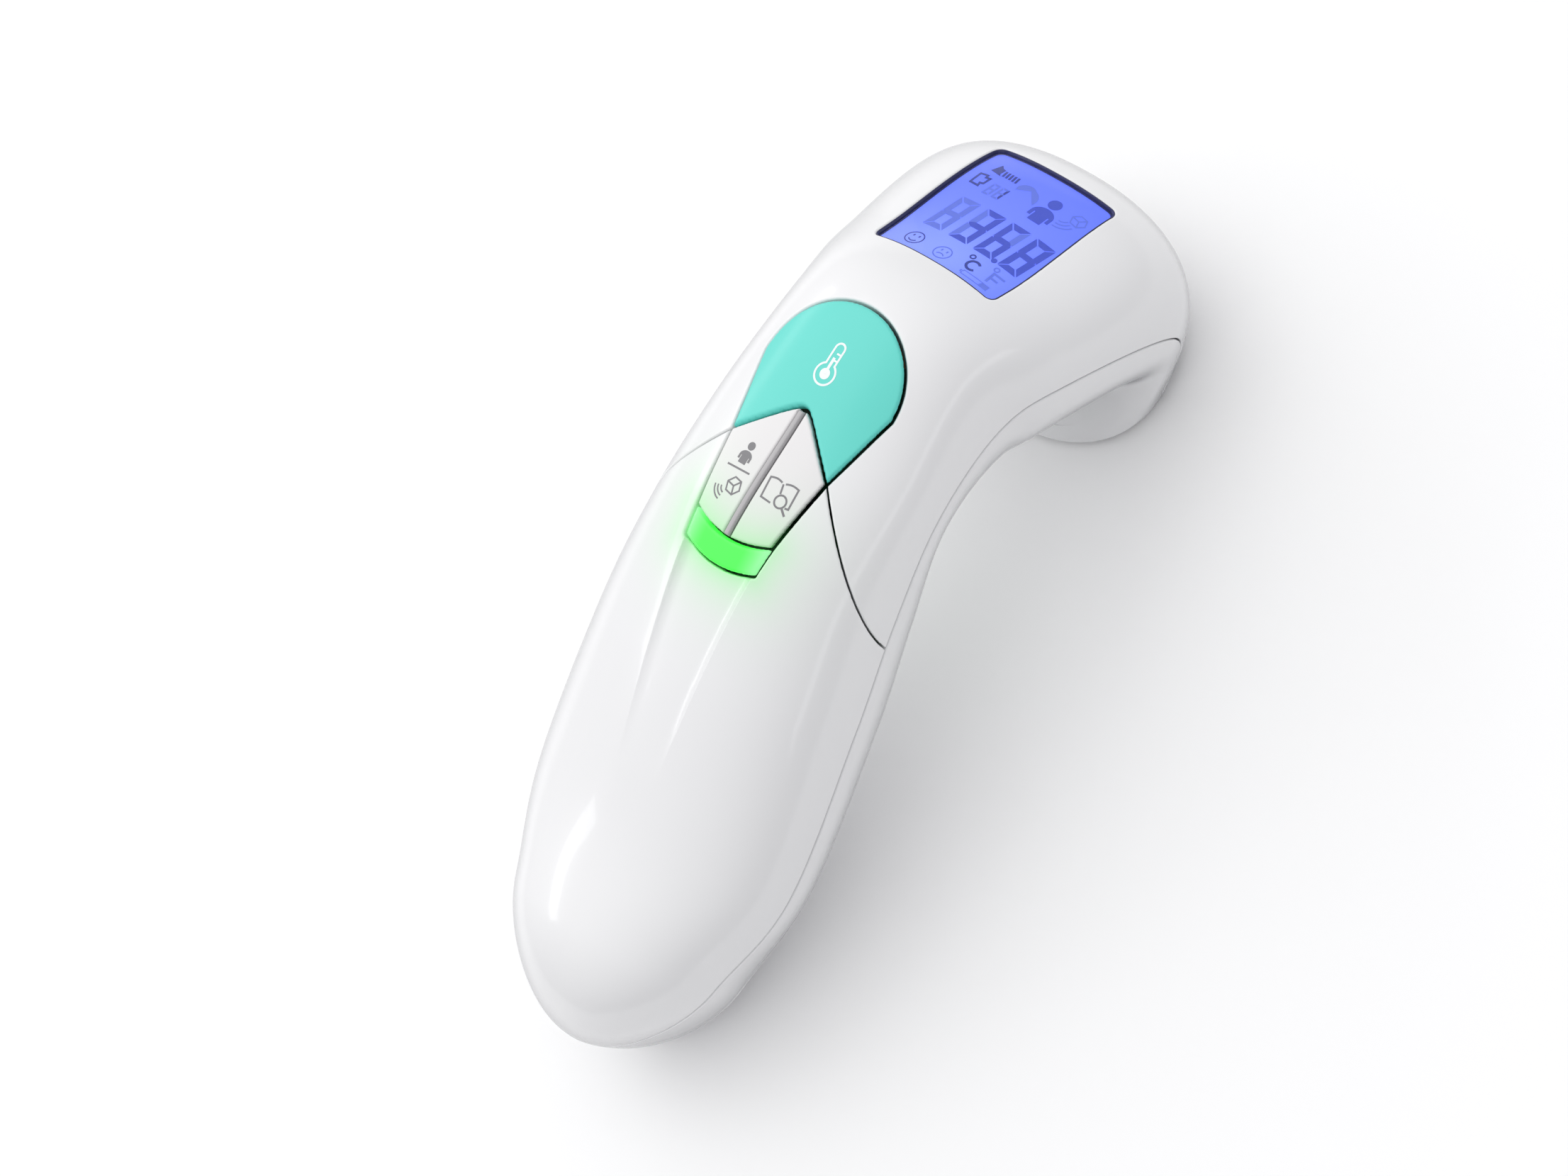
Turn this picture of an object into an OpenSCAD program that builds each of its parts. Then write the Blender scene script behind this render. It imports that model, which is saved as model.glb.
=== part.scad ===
// Non-contact infrared thermometer lying on its back.
// +X runs from the handle butt to the head, +Y to the user's left, +Z up from the surface it lies on.

/* [Overall] */
// Overall length of the housing
body_l = 153; // [145:1:190]
// Overall width of the housing
body_w = 53; // [50:1:66]
// Height of the housing as it lies
body_h = 53; // [51:1:64]

/* [Housing] */
// Wall thickness of the housing shells
wall = 2; // [1.6:0.1:2.4]
// Gap between the housing and each moving button
key_gap = 0.35; // [0.3:0.05:0.5]
// Gap between the battery door and the rear shell
door_gap = 0.35; // [0.3:0.05:0.6]
// Height that the nose rim stands off the surface
nose_lift = 1; // [0.6:0.1:1.6]
// Depth of the tie-shaped hollow below the light bar
hollow_depth = 0.9; // [0.4:0.1:1.2]
// Diameter of the posts that take the housing screws
post_d = 5.2; // [4.6:0.1:6]
// Spacing of the two neck screws across the housing
neck_screw_pitch = 28.4; // [28:0.2:30]

/* [Buttons] */
// Radius of the round end of the scan button
scan_r = 13.1; // [12:0.1:13.6]
// Half width of the scan button at its two tips
tip_half = 9.9; // [9:0.1:10.6]
// Distance from the button notch back to the tips
tip_back = 8.2; // [7:0.1:9]
// Distance from the button notch forward to the widest point
round_fwd = 4.7; // [4:0.1:6]
// Length of the two small buttons along the handle
small_l = 20.8; // [19:0.1:22]
// Half width of the two small buttons at their lower edge
small_half = 7.85; // [7:0.05:8.6]
// Bow of the lower edge of the small buttons
small_bow = 1.9; // [1:0.1:2.6]
// Width of the raised divider between the small buttons
divider_w = 1.0; // [0.8:0.1:1.6]
// Height that the buttons stand above the housing
key_proud = 0.3; // [0:0.1:0.6]
// Thickness of the button caps
key_wall = 1.8; // [1.4:0.1:2.2]
// Travel of each button
key_travel = 0.5; // [0.3:0.1:0.6]

/* [Light bar] */
// Length of the light bar along the handle
light_l = 4.7; // [3.5:0.1:6]
// Half width of the light bar at its lower edge
light_half = 7.3; // [6.5:0.1:8]

/* [Display] */
// Length of the display opening along the head
window_l = 28.2; // [26:0.2:29]
// Width of the display opening
window_w = 24; // [22:0.2:25]
// Depth of the window below the housing surface
window_recess = 0.8; // [0.5:0.1:1]
// Tilt of the display from the horizontal
window_tilt = 42; // [40:0.5:44]
// Thickness of the liquid crystal cell
lcd_t = 1.6; // [1:0.1:2]
// Thickness of the backlight
backlight_t = 2.2; // [1.4:0.1:2.4]

/* [Probe] */
// Radius of the round probe mouth
mouth_r = 9; // [8.6:0.1:9.4]
// Outer radius of the probe ring
ring_r = 11.5; // [11.2:0.1:11.6]
// Height of the probe ring above its foot
ring_h = 4.6; // [4.4:0.1:5]
// Radius of the infrared sensor can
can_r = 4.1; // [3.5:0.1:4.3]
// Height of the infrared sensor can
can_h = 3.6; // [3:0.1:4]

/* [Battery compartment] */
// Diameter of one cell
cell_d = 10.5; // [10:0.1:10.5]
// Length of one cell
cell_l = 44.5; // [43.5:0.1:44.5]
// Distance between the axes of the two cells
cell_pitch = 12.4; // [11.9:0.1:13]
// Depth of the cell axes below the parting plane
cell_drop = 6.6; // [6.5:0.1:7]
// Compressed length of the cell springs
spring_l = 5; // [4:0.1:6]
// Depth of the door's long edges below the parting plane
door_drop = 8.5; // [8:0.1:9.5]
// Tilt of the handle from the horizontal
handle_tilt = 16; // [14:0.5:18]

/* [Electronics] */
// Thickness of the circuit boards
board_t = 1.2; // [0.8:0.1:1.6]
// Side of each square switch body
switch_w = 6; // [5:0.1:6.2]
// Height of each switch body
switch_h = 3.4; // [2.5:0.1:4]
// Radius of each switch plunger
plunger_r = 1.6; // [1.2:0.1:1.8]
// Radial running clearance of each switch plunger
plunger_fit = 0.06; // [0.03:0.01:0.08]

/* [Hidden] */

// Sculpted stations from the butt to the nose at a length of 153, a width of 53 and a height of 53:
// [x, z, tilt of the section, half width, depth in front of the spine, depth behind it]
nominal = [153, 53, 53];
sculpt = [
    [-59.3, 20.2, -12, 20, 13, 20.6],
    [-41.3, 24, -18.5, 25.3, 13.8, 17.4],
    [-14.8, 32.2, -16, 25, 15.9, 17.8],
    [2.9, 36.8, -10, 23.4, 16.3, 16.2],
    [19.7, 39.5, 4.5, 22.1, 13.6, 12.6],
    [35.6, 37, 24.5, 21.4, 16.1, 15.8],
    [46.2, 32.5, 49, 24, 13.8, 17.4],
    [62.1, 16.6, 64, 26.8, 16.4, 15],
    [54.2, 0, 90, 20.6, 16.9, 15.3]];
butt_l = 18.6;
butt_power = 2;
front_power = 2.3;
rear_power = 2.2;
last = len(sculpt) - 1;
kx = body_l / nominal[0];
ky = body_w / nominal[1];
kz = body_h / nominal[2];

steps_per_station = 4;
cap_steps = 8;
ring_points = 40;
fine = 48;
big = 400;
eps = 0.02;
seat = 0.05;

function lifted(i) = i == last ? nose_lift : sculpt[i][1] * kz;
function scaled(i) = [sculpt[i][0] * kx, lifted(i), sculpt[i][2],
    sculpt[i][3] * ky, sculpt[i][4] * kz, sculpt[i][5] * kz];
function station(i) = i < 0 ? 2 * scaled(0) - scaled(1)
    : i > last ? 2 * scaled(last) - scaled(last - 1) : scaled(i);
function blend(p0, p1, p2, p3, t) = 0.5 * (2 * p1 + (p2 - p0) * t
    + (2 * p0 - 5 * p1 + 4 * p2 - p3) * t * t + (3 * p1 - p0 - 3 * p2 + p3) * t * t * t);
function spine(u) = let (i = min(floor(u), last - 1))
    blend(station(i - 1), station(i), station(i + 1), station(i + 2), u - i);
function front_point(u) = let (s = spine(u)) [s[0] + s[4] * sin(s[2]), s[1] + s[4] * cos(s[2])];
function power(v, p) = sign(v) * pow(abs(v), 2 / p);

// One closed ring of the housing at a station, drawn in by an inset and closed by a factor
function ring(s, inset, close) = [for (k = [0 : ring_points - 1])
    let (t = 360 * (k + 0.5) / ring_points, c = cos(t), n = sin(t), p = n < 0 ? rear_power : front_power,
        u = (n < 0 ? s[5] - inset : s[4] - inset) * close * power(n, p))
    [s[0] + u * sin(s[2]), (s[3] - inset) * close * power(c, p), s[1] + u * cos(s[2])]];
function cap_ring(k, inset) = let (t = 90 * k / cap_steps, step = scaled(0) - scaled(1),
        far = (butt_l - inset) * pow(cos(t), 2 / butt_power) / norm([step[0], step[1]]))
    ring(scaled(0) + far * step, inset, pow(sin(t), 2 / butt_power));
function end_shift(u, inset) = u > last - 1 ? (u - last + 1) * inset : 0;
function body_ring(k, inset) = let (u = k / steps_per_station, s = spine(u))
    ring([s[0], s[1] + end_shift(u, inset), s[2], s[3], s[4], s[5]], inset, 1);
function body_rings(inset) = concat([for (k = [1 : cap_steps - 1]) cap_ring(k, inset)],
    [for (k = [0 : last * steps_per_station]) body_ring(k, inset)]);

// Takes a sculpted form as one smooth mesh
module sculpted() resize([0, 0, 0]) children();

module skin(rings) {
    m = ring_points;
    n = len(rings);
    points = [for (r = rings) for (p = r) p];
    sides = [for (i = [0 : n - 2]) for (k = [0 : m - 1]) let (j = (k + 1) % m)
        for (f = [[i * m + k, i * m + m + k, i * m + j], [i * m + j, i * m + m + k, i * m + m + j]]) f];
    butt = [[for (k = [0 : m - 1]) k]];
    nose = [[for (k = [m - 1 : -1 : 0]) (n - 1) * m + k]];
    polyhedron(points, concat(sides, butt, nose));
}

// The housing's outer form drawn in by an inset, kept above the surface it lies on
module form(inset = 0) intersection() {
    skin(body_rings(inset));
    translate([-big / 2, -big / 2, max(0, inset)]) cube([big, big, big]);
}

module layer(outer, inner) difference() {
    form(outer);
    form(inner);
}

// Everything in front of the parting line
module front_side() {
    path = [for (k = [0 : last * steps_per_station - 1])
        let (s = spine((k + 0.5) / steps_per_station)) [s[0], s[1]]];
    start = scaled(0) - scaled(1);
    rotate([90, 0, 0])
        linear_extrude(height = big, center = true)
            polygon(concat([[path[0][0] + 5 * start[0], path[0][1] + 5 * start[1]]], path,
                [[path[len(path) - 1][0], -big / 4], [big, -big / 4], [big, big], [-big, big]]));
}

// Frames that the inner parts sit in
grip_station = 1.5;
display_station = 6.36;
probe_forward = 2.9;
key_forward = 3.8;
grip = spine(grip_station);
module in_handle() translate([grip[0], 0, grip[1]]) rotate([0, -handle_tilt, 0]) children();
display = front_point(display_station);
module in_display() translate([display[0], 0, display[1]]) rotate([0, window_tilt, 0]) children();
probe_x = scaled(last)[0] + probe_forward;
module in_nose() translate([probe_x, 0, 0]) children();
key_x = scaled(4)[0] + key_forward;
module in_keys() translate([key_x, 0, 0]) children();

// Outlines of the buttons, seen from above with the notch at the origin
notch_round = 1.2;
notch_k = tip_back / (norm([tip_half, notch_round]) - notch_round);
function notch(y) = [-notch_k * (norm([y, notch_round]) - notch_round), y];
notch_steps = 5;
notch_line = [for (k = [-notch_steps : notch_steps]) notch(tip_half * k / notch_steps)];
bow_steps = 4;
function bow(x, half, depth, way) = [for (k = [-bow_steps : bow_steps])
    [x - depth * (1 - pow(k / bow_steps, 2)), way * half * k / bow_steps]];
function reversed(list) = [for (k = [len(list) - 1 : -1 : 0]) list[k]];
round_steps = 8;
light_bow = 1.6;
small_edge = bow(-small_l, small_half, small_bow, 1);
light_edge = bow(-small_l - light_l, light_half, light_bow, -1);

module scan_outline() polygon(concat(
    [for (k = [-round_steps : round_steps]) let (t = 90 * k / round_steps)
        [round_fwd + scan_r * cos(t), scan_r * sin(t)]],
    reversed(notch_line)));
module small_outline() polygon(concat(notch_line, reversed(small_edge)));
module light_outline() polygon(concat(small_edge, light_edge));
module keys_outline() offset(delta = eps) {
    scan_outline();
    small_outline();
    light_outline();
}
column_z = scaled(3)[1] - 1;
module column(bottom = column_z) in_keys() translate([0, 0, bottom]) linear_extrude(height = big) children();

// The seam between the two front shells is a straight V that starts at the tips of the scan button
seam_slope = 1.17;
seam_x = key_x - tip_back + seam_slope * tip_half;
module lower_side() translate([0, 0, -eps])
    linear_extrude(height = big)
        polygon([[seam_x, 0], [seam_x - seam_slope * big, big], [-big * 2, big], [-big * 2, -big],
            [seam_x - seam_slope * big, -big]]);

// Tie-shaped hollow that runs down the handle from the light bar
hollow_l = 36;
hollow_top = light_half - 0.1;
hollow_end = 4;

board_z = scaled(4)[1] + 2 * kz;
switch_top = board_z + board_t + switch_h;
stem_z = switch_top + key_travel + 0.6;
scan_stem_x = 7.5;
small_stem = [13.6, 4.7];
scan_at = [key_x + scan_stem_x, 0];
mode_at = [key_x - small_stem[0], small_stem[1]];
memory_at = [key_x - small_stem[0], -small_stem[1]];
standoff_d = 3.6;
wide_back = 4.6;
wide_x = key_x - wide_back;
wide_post = [4, 15.6];
narrow_post = [27.6, 9.9];
standoffs = [[wide_x + wide_post[0], wide_post[1]], [wide_x + wide_post[0], -wide_post[1]],
    [key_x - narrow_post[0], narrow_post[1]], [key_x - narrow_post[0], -narrow_post[1]]];
neck_back = 8.8;
neck_screws = [for (side = [1, -1]) [key_x - neck_back, side * neck_screw_pitch / 2]];
parting_station = 3.68;
parting_z = spine(parting_station)[1];
neck_boss_h = 5;
neck_seat_z = parting_z - neck_boss_h;
tray_screw_y = 18.2;
tray_screws = [[0, tray_screw_y], [0, -tray_screw_y]];
screw_r = 1.1;
head_r = 2.2;
head_h = 1.5;
housing_hole_h = 8;
board_hole_r = 0.85;
board_hole_h = 5.4;

module standoff(at) translate([at[0], at[1], board_z + board_t])
    cylinder(d = standoff_d, h = big / 10, $fn = 24);
module neck_post(at) translate([at[0], at[1], parting_z]) cylinder(d = post_d, h = big / 10, $fn = 24);
module tray_post(at) in_handle() translate([at[0], at[1], 0]) cylinder(d = post_d, h = big / 10, $fn = 24);

window_corner = 1.4;
module display_opening(grow = 0) in_display() translate([0, 0, -big / 20])
    linear_extrude(height = big / 10)
        offset(r = window_corner + grow, $fn = 24)
            square([window_l - 2 * window_corner, window_w - 2 * window_corner], center = true);

module front_walls() intersection() {
    difference() {
        layer(0, wall);
        column() offset(delta = key_gap) keys_outline();
    }
    front_side();
}

// Round bore through the nose wall that the probe ring stands in
bore_over = 0.4;
module nose_bore() in_nose() translate([0, 0, -eps])
    cylinder(r = ring_r + seat, h = nose_lift + wall + bore_over, $fn = fine);
module screw_hole(at) translate([at[0], at[1], board_z])
    cylinder(r = board_hole_r, h = board_hole_h, $fn = 16);
module post_hole(at) translate([at[0], at[1], -1])
    cylinder(r = screw_r + seat, h = housing_hole_h, $fn = 16);

module front_shell_upper() color("white") sculpted() difference() {
    union() {
        difference() {
            front_walls();
            lower_side();
            display_opening();
            nose_bore();
        }
        intersection() {
            union() {
                for (at = neck_screws) neck_post(at);
                for (k = [0, 1]) standoff(standoffs[k]);
            }
            form(wall / 2);
        }
    }
    translate([0, 0, parting_z]) for (at = neck_screws) post_hole(at);
    for (k = [0, 1]) screw_hole(standoffs[k]);
}

module front_shell_lower() color("white") sculpted() difference() {
    union() {
        intersection() {
            front_walls();
            lower_side();
        }
        intersection() {
            union() {
                for (at = tray_screws) tray_post(at);
                for (k = [2, 3]) standoff(standoffs[k]);
            }
            form(wall / 2);
        }
    }
    tie_hollow();
    in_handle() for (at = tray_screws) post_hole(at);
    for (k = [2, 3]) screw_hole(standoffs[k]);
}

// The hollow is deepest at the light bar and runs out to nothing along the handle
light_back = small_l + light_l;
module tie_hollow() intersection() {
    column(scaled(1)[1]) polygon([[1 - light_back, -hollow_top], [1 - light_back, hollow_top],
        [-light_back - hollow_l, hollow_end], [-light_back - hollow_l, -hollow_end]]);
    difference() {
        form(-1);
        translate([0, 0, -hollow_depth]) skewed_form();
    }
}
module skewed_form() multmatrix([[1, 0, 0, 0], [0, 1, 0, 0],
    [-hollow_depth / hollow_l, 0, 1, hollow_depth * (key_x - light_back) / hollow_l], [0, 0, 0, 1]])
    form(0);

module door_zone(gap = 0) in_handle()
    translate([-big, -big / 2, -big - door_drop + gap]) cube([big + door_front + gap, big, big]);
door_over = 1.6;
door_front = cell_l / 2 + spring_l + door_over;

boss_over = 2;
head_room = 0.3;
shank_room = 0.25;
module rear_shell() color("white") sculpted() difference() {
    union() {
        difference() {
            layer(0, wall);
            front_side();
            door_zone(door_gap);
            nose_bore();
        }
        difference() {
            intersection() {
                for (at = neck_screws)
                    translate([at[0], at[1], 0]) cylinder(d = post_d + boss_over, h = parting_z, $fn = 24);
                form(wall / 2);
            }
            front_side();
        }
    }
    for (at = neck_screws) translate([at[0], at[1], 0]) {
        cylinder(r = head_r + head_room, h = neck_seat_z, $fn = 24);
        cylinder(r = screw_r + shank_room, h = big, $fn = 16);
    }
}

tongue_l = 3.4;
tongue_half = 5;
tongue_t = 1;
tongue_root = 4;
tongue_top = -9;
grooves = 5;
groove_pitch = 2.4;
groove_w = 1.1;
groove_l = 16;
groove_step = 1.6;
groove_depth = 0.7;
groove_back = 7;
module battery_door() color("white") sculpted() {
    difference() {
        intersection() {
            layer(0, wall);
            door_zone();
        }
        in_handle() for (k = [0 : grooves - 1])
            translate([door_front - groove_back - k * groove_pitch, 0, -big / 10])
                cube([groove_w, groove_l - groove_step * k, big / 5 - 2 * (grip[5] - groove_depth)],
                    center = true);
    }
    intersection() {
        layer(wall - eps, wall + door_gap + tongue_t);
        in_handle() translate([door_front - tongue_root, -tongue_half, -big / 10])
            cube([tongue_root, 2 * tongue_half, big / 10 + tongue_top]);
    }
    intersection() {
        layer(wall + door_gap, wall + door_gap + tongue_t);
        in_handle() translate([door_front - tongue_root, -tongue_half, -big / 10])
            cube([tongue_root + tongue_l, 2 * tongue_half, big / 10 + tongue_top]);
    }
}

window_t = 1.8;
window_fit = 0.1;
lip_w = 1.4;
lip_t = 0.8;
module display_window() color([0.75, 0.8, 0.95]) sculpted() {
    intersection() {
        layer(window_recess, window_recess + window_t);
        display_opening(-window_fit);
    }
    intersection() {
        layer(wall + seat, wall + seat + lip_t);
        display_opening(lip_w);
    }
}

key_base = -key_proud;
stem_over = 0.9;
module cap(stem_at) {
    intersection() {
        layer(key_base, key_wall - key_proud);
        column() offset(delta = -eps) children();
    }
    intersection() {
        translate([stem_at[0], stem_at[1], stem_z])
            cylinder(r = plunger_r + stem_over, h = big / 10, $fn = 24);
        form(key_wall / 2);
    }
}

// Retaining lips under the housing wall, below the button's own edge
lip_reach = 1.1;
key_lip_t = 0.9;
rim_t = 1.25;
small_skirt_t = 1.2;
small_rim_t = 1.3;
module key_lip() intersection() {
    layer(wall + key_gap, wall + key_gap + key_lip_t);
    column() children();
}
module key_skirt() intersection() {
    layer(key_wall - key_proud - eps, wall + key_gap + key_lip_t);
    column() children();
}

module scan_button() color([0.43, 0.91, 0.86]) sculpted() {
    cap(scan_at) scan_outline();
    key_skirt() intersection() {
        difference() {
            scan_outline();
            offset(delta = -rim_t) scan_outline();
        }
        translate([2, -20]) square([30, 40]);
    }
    key_lip() intersection() {
        difference() {
            offset(delta = lip_reach) scan_outline();
            offset(delta = -rim_t) scan_outline();
        }
        translate([2, -20]) square([30, 40]);
    }
}

// Half of the small-button outline on one side of the divider
module half_outline(side) intersection() {
    offset(delta = -key_gap) small_outline();
    translate([-40, side > 0 ? divider_w / 2 + key_gap : -20 - divider_w / 2 - key_gap]) square([60, 20]);
}
module small_button(side, at) color([0.88, 0.87, 0.87]) sculpted() {
    cap(at) half_outline(side);
    key_skirt() intersection() {
        difference() {
            half_outline(side);
            offset(delta = -small_skirt_t) small_outline();
        }
        translate([-small_l + 2, -20]) square([10, 40]);
    }
    key_lip() intersection() {
        difference() {
            offset(delta = lip_reach) half_outline(side);
            offset(delta = -small_rim_t) small_outline();
        }
        translate([-small_l + 2, -20]) square([10, 40]);
    }
}
module mode_button() small_button(1, mode_at);
module memory_button() small_button(-1, memory_at);

divider_foot = 3;
divider_front = -key_gap - 0.4;
divider_back = -small_l - small_bow + key_gap;
module button_divider() color([0.7, 0.7, 0.7]) sculpted() {
    intersection() {
        layer(key_base, wall + divider_foot);
        column() translate([divider_back, -divider_w / 2]) square([divider_front - divider_back, divider_w]);
    }
    intersection() {
        layer(wall + 1.6, wall + divider_foot);
        column() translate([divider_back, -divider_w / 2]) square([3, divider_w]);
    }
}

light_t = 3.2;
module light_bar() color([0.35, 0.98, 0.37]) sculpted() {
    intersection() {
        layer(0, light_t);
        column() offset(delta = -0.1) difference() {
            light_outline();
            translate([-small_l - 4, -0.9]) square([5, 1.8]);
        }
    }
    intersection() {
        layer(wall + seat, light_t);
        column() offset(delta = 1) intersection() {
            light_outline();
            translate([-small_l - light_l - 3, -20]) square([4, 40]);
        }
    }
}

flange = 0.5;
module probe_ring() color([0.8, 0.82, 0.84]) in_nose() rotate_extrude($fn = 96)
    polygon([[mouth_r, 0], [ring_r, 0], [ring_r, nose_lift + wall + seat],
        [ring_r + flange, nose_lift + wall + seat], [ring_r + flange, ring_h], [mouth_r, ring_h]]);

cone_t = 0.5;
cone_h = 4.6;
cone_top = ring_h + cone_h;
throat_r = can_r - 1;
module sensor_cone() color([0.85, 0.86, 0.88]) in_nose() rotate_extrude($fn = 64)
    polygon([[mouth_r - 1.6, ring_h], [ring_r - 0.6, ring_h], [ring_r - 0.6, ring_h + cone_t],
        [mouth_r - 1.2, ring_h + cone_t], [throat_r + cone_t, cone_top], [throat_r, cone_top]]);

module infrared_sensor() color([0.75, 0.75, 0.72]) in_nose() {
    translate([0, 0, cone_top]) difference() {
        cylinder(r = can_r, h = can_h - 0.5, $fn = 48);
        translate([0, 0, -1]) cylinder(r = throat_r - 0.6, h = 1.4, $fn = 32);
    }
    translate([0, 0, cone_top + can_h - 0.5]) cylinder(r = can_r + 0.5, h = 0.5, $fn = 48);
}

holder_t = 1.2;
module sensor_holder() color([0.2, 0.2, 0.22]) in_nose() translate([0, 0, cone_top + 0.1])
    difference() {
        cylinder(r = can_r + 0.5 + holder_t, h = can_h - 0.1, $fn = 48);
        translate([0, 0, -1]) cylinder(r = can_r + seat, h = can_h + 2, $fn = 48);
        translate([0, 0, can_h - 0.6 - seat]) cylinder(r = can_r + 0.5 + seat, h = 2, $fn = 48);
    }

module sensor_board() color([0.1, 0.4, 0.2]) in_nose()
    translate([-4.8, -8.5, cone_top + can_h]) cube([9.6, 17, board_t]);

// Display stack, from the window inwards
lcd_top = -5.8;
lcd_l = window_l - 0.4;
lcd_w = window_w + 0.3;
module slab(top, l, w, t) in_display() translate([-l / 2, -w / 2, top - t]) cube([l, w, t]);
module lcd_cell() color([0.47, 0.55, 1]) slab(lcd_top, lcd_l, lcd_w, lcd_t);
module backlight() color([0.9, 0.92, 1]) slab(lcd_top - lcd_t, lcd_l, lcd_w, backlight_t);
frame_w = 1.4;
frame_drop = 1;
module lcd_frame() color([0.25, 0.25, 0.27]) difference() {
    slab(lcd_top - frame_drop, lcd_l + 2 * frame_w, lcd_w + 2 * frame_w, lcd_t + backlight_t - frame_drop);
    slab(lcd_top + 1, lcd_l + 2 * seat, lcd_w + 2 * seat, 20);
}
module display_board() color([0.1, 0.4, 0.2])
    slab(lcd_top - lcd_t - backlight_t, lcd_l + 2 * frame_w, lcd_w + 2 * frame_w, board_t);

wide_l = 17.5;
wide_half = 17.8;
narrow_half = 11;
narrow_x = key_x - 30;
module main_board() color([0.1, 0.4, 0.2]) difference() {
    translate([0, 0, board_z]) linear_extrude(height = board_t) union() {
        translate([narrow_x, -narrow_half]) square([wide_x - narrow_x + wide_l, 2 * narrow_half]);
        translate([wide_x, -wide_half]) square([wide_l, 2 * wide_half]);
        for (side = [1, -1])
            translate([key_x - narrow_post[0], side * narrow_post[1]]) circle(r = 2.4, $fn = 32);
    }
    for (at = standoffs) translate([at[0], at[1], board_z - 1]) cylinder(r = screw_r + seat, h = 4, $fn = 24);
}

module processor_chip() color([0.12, 0.12, 0.13])
    translate([key_x - 5, -5, board_z - 1.4]) cube([10, 10, 1.4]);
buzzer_r = 4.5;
module buzzer() color([0.1, 0.1, 0.1]) translate([key_x - 12, 0, board_z - 3.6]) difference() {
    cylinder(r = buzzer_r, h = 3.6, $fn = 48);
    translate([0, 0, -1]) cylinder(r = 0.9, h = 2, $fn = 24);
}
module status_leds() color([0.7, 1, 0.7]) for (side = [-1, 0, 1])
    translate([key_x - small_l - small_bow - 2.4, side * 4.4 - 0.9, board_z + board_t]) cube([1.8, 1.8, 0.8]);

plunger_depth = 1.4;
module switch(at) color([0.15, 0.15, 0.16]) translate([at[0], at[1], board_z + board_t]) difference() {
    translate([-switch_w / 2, -switch_w / 2, 0]) cube([switch_w, switch_w, switch_h]);
    translate([0, 0, switch_h - plunger_depth - key_travel - 0.2])
        cylinder(r = plunger_r + plunger_fit, h = 10, $fn = 48);
}
module plunger(at) color([0.3, 0.3, 0.32]) translate([at[0], at[1], switch_top - plunger_depth])
    cylinder(r = plunger_r, h = stem_z - switch_top + plunger_depth, $fn = 48);
module scan_switch() switch(scan_at);
module mode_switch() switch(mode_at);
module memory_switch() switch(memory_at);
module scan_plunger() plunger(scan_at);
module mode_plunger() plunger(mode_at);
module memory_plunger() plunger(memory_at);

// Battery tray, hung from the parting plane with its open side towards the door
tray_t = 1.2;
bay_l = cell_l + spring_l + 1.2;
bay_w = cell_pitch + cell_d + 0.6;
plate_t = 1.2;
module battery_tray() color([0.85, 0.85, 0.86]) sculpted() difference() {
    intersection() {
        in_handle() union() {
            translate([-bay_l / 2 - 3, -body_w / 2, -plate_t]) cube([bay_l + 6, body_w, plate_t]);
            translate([-bay_l / 2 - tray_t, -bay_w / 2 - tray_t, -cell_drop - 2.4])
                cube([bay_l + 2 * tray_t, bay_w + 2 * tray_t, cell_drop + 2.4]);
        }
        form(wall + seat);
    }
    difference() {
        in_handle() translate([-bay_l / 2, -bay_w / 2, -20 - plate_t]) cube([bay_l, bay_w, 20]);
        in_handle() translate([-bay_l / 2, -0.5, -cell_drop]) cube([bay_l, 1, cell_drop]);
    }
    in_handle() for (at = tray_screws)
        translate([at[0], at[1], -5]) cylinder(r = screw_r + seat, h = 10, $fn = 24);
}

contact_t = 0.4;
nub_r = 2.6;
nub_h = 1;
module cell(way) in_handle() translate([way * (bay_l / 2 - contact_t), way * cell_pitch / 2, -cell_drop])
    rotate([0, -90 * way, 0]) {
        cylinder(r = nub_r, h = nub_h + eps, $fn = 32);
        translate([0, 0, nub_h]) cylinder(d = cell_d, h = cell_l - nub_h, $fn = 64);
    }
module cell_left() color([0.2, 0.35, 0.5]) cell(1);
module cell_right() color([0.2, 0.35, 0.5]) cell(-1);

wire_r = 0.35;
turns = 4;
coil_steps = 12;
function coil_ring(k, h, r) = let (a = 360 * k / coil_steps,
        z = wire_r + (h - 2 * wire_r) * k / (turns * coil_steps))
    [for (j = [0 : 5]) let (b = 60 * j) [(r + wire_r * cos(b)) * cos(a), (r + wire_r * cos(b)) * sin(a),
        z + wire_r * sin(b)]];
module coil(h, r) {
    n = turns * coil_steps + 1;
    points = [for (k = [0 : n - 1]) each coil_ring(k, h, r)];
    sides = [for (i = [0 : n - 2]) for (k = [0 : 5]) let (j = (k + 1) % 6)
        for (f = [[i * 6 + k, i * 6 + j, i * 6 + 6 + k], [i * 6 + j, i * 6 + 6 + j, i * 6 + 6 + k]]) f];
    polyhedron(points, concat(sides, [[5, 4, 3, 2, 1, 0]], [[for (j = [0 : 5]) (n - 1) * 6 + j]]));
}
module cell_springs() color([0.8, 0.8, 0.8]) in_handle() for (way = [1, -1])
    translate([-way * (bay_l / 2 - contact_t), way * cell_pitch / 2, -cell_drop]) rotate([0, 90 * way, 0])
        coil(bay_l - 2 * contact_t - cell_l - seat, 3.2);
module cell_contacts() color([0.8, 0.78, 0.6]) in_handle() for (x = [-1, 1]) for (y = [-1, 1])
    translate([x * (bay_l / 2 - contact_t / 2), y * cell_pitch / 2, -cell_drop + 0.2])
        cube([contact_t, 8.4, 8.4], center = true);

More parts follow.
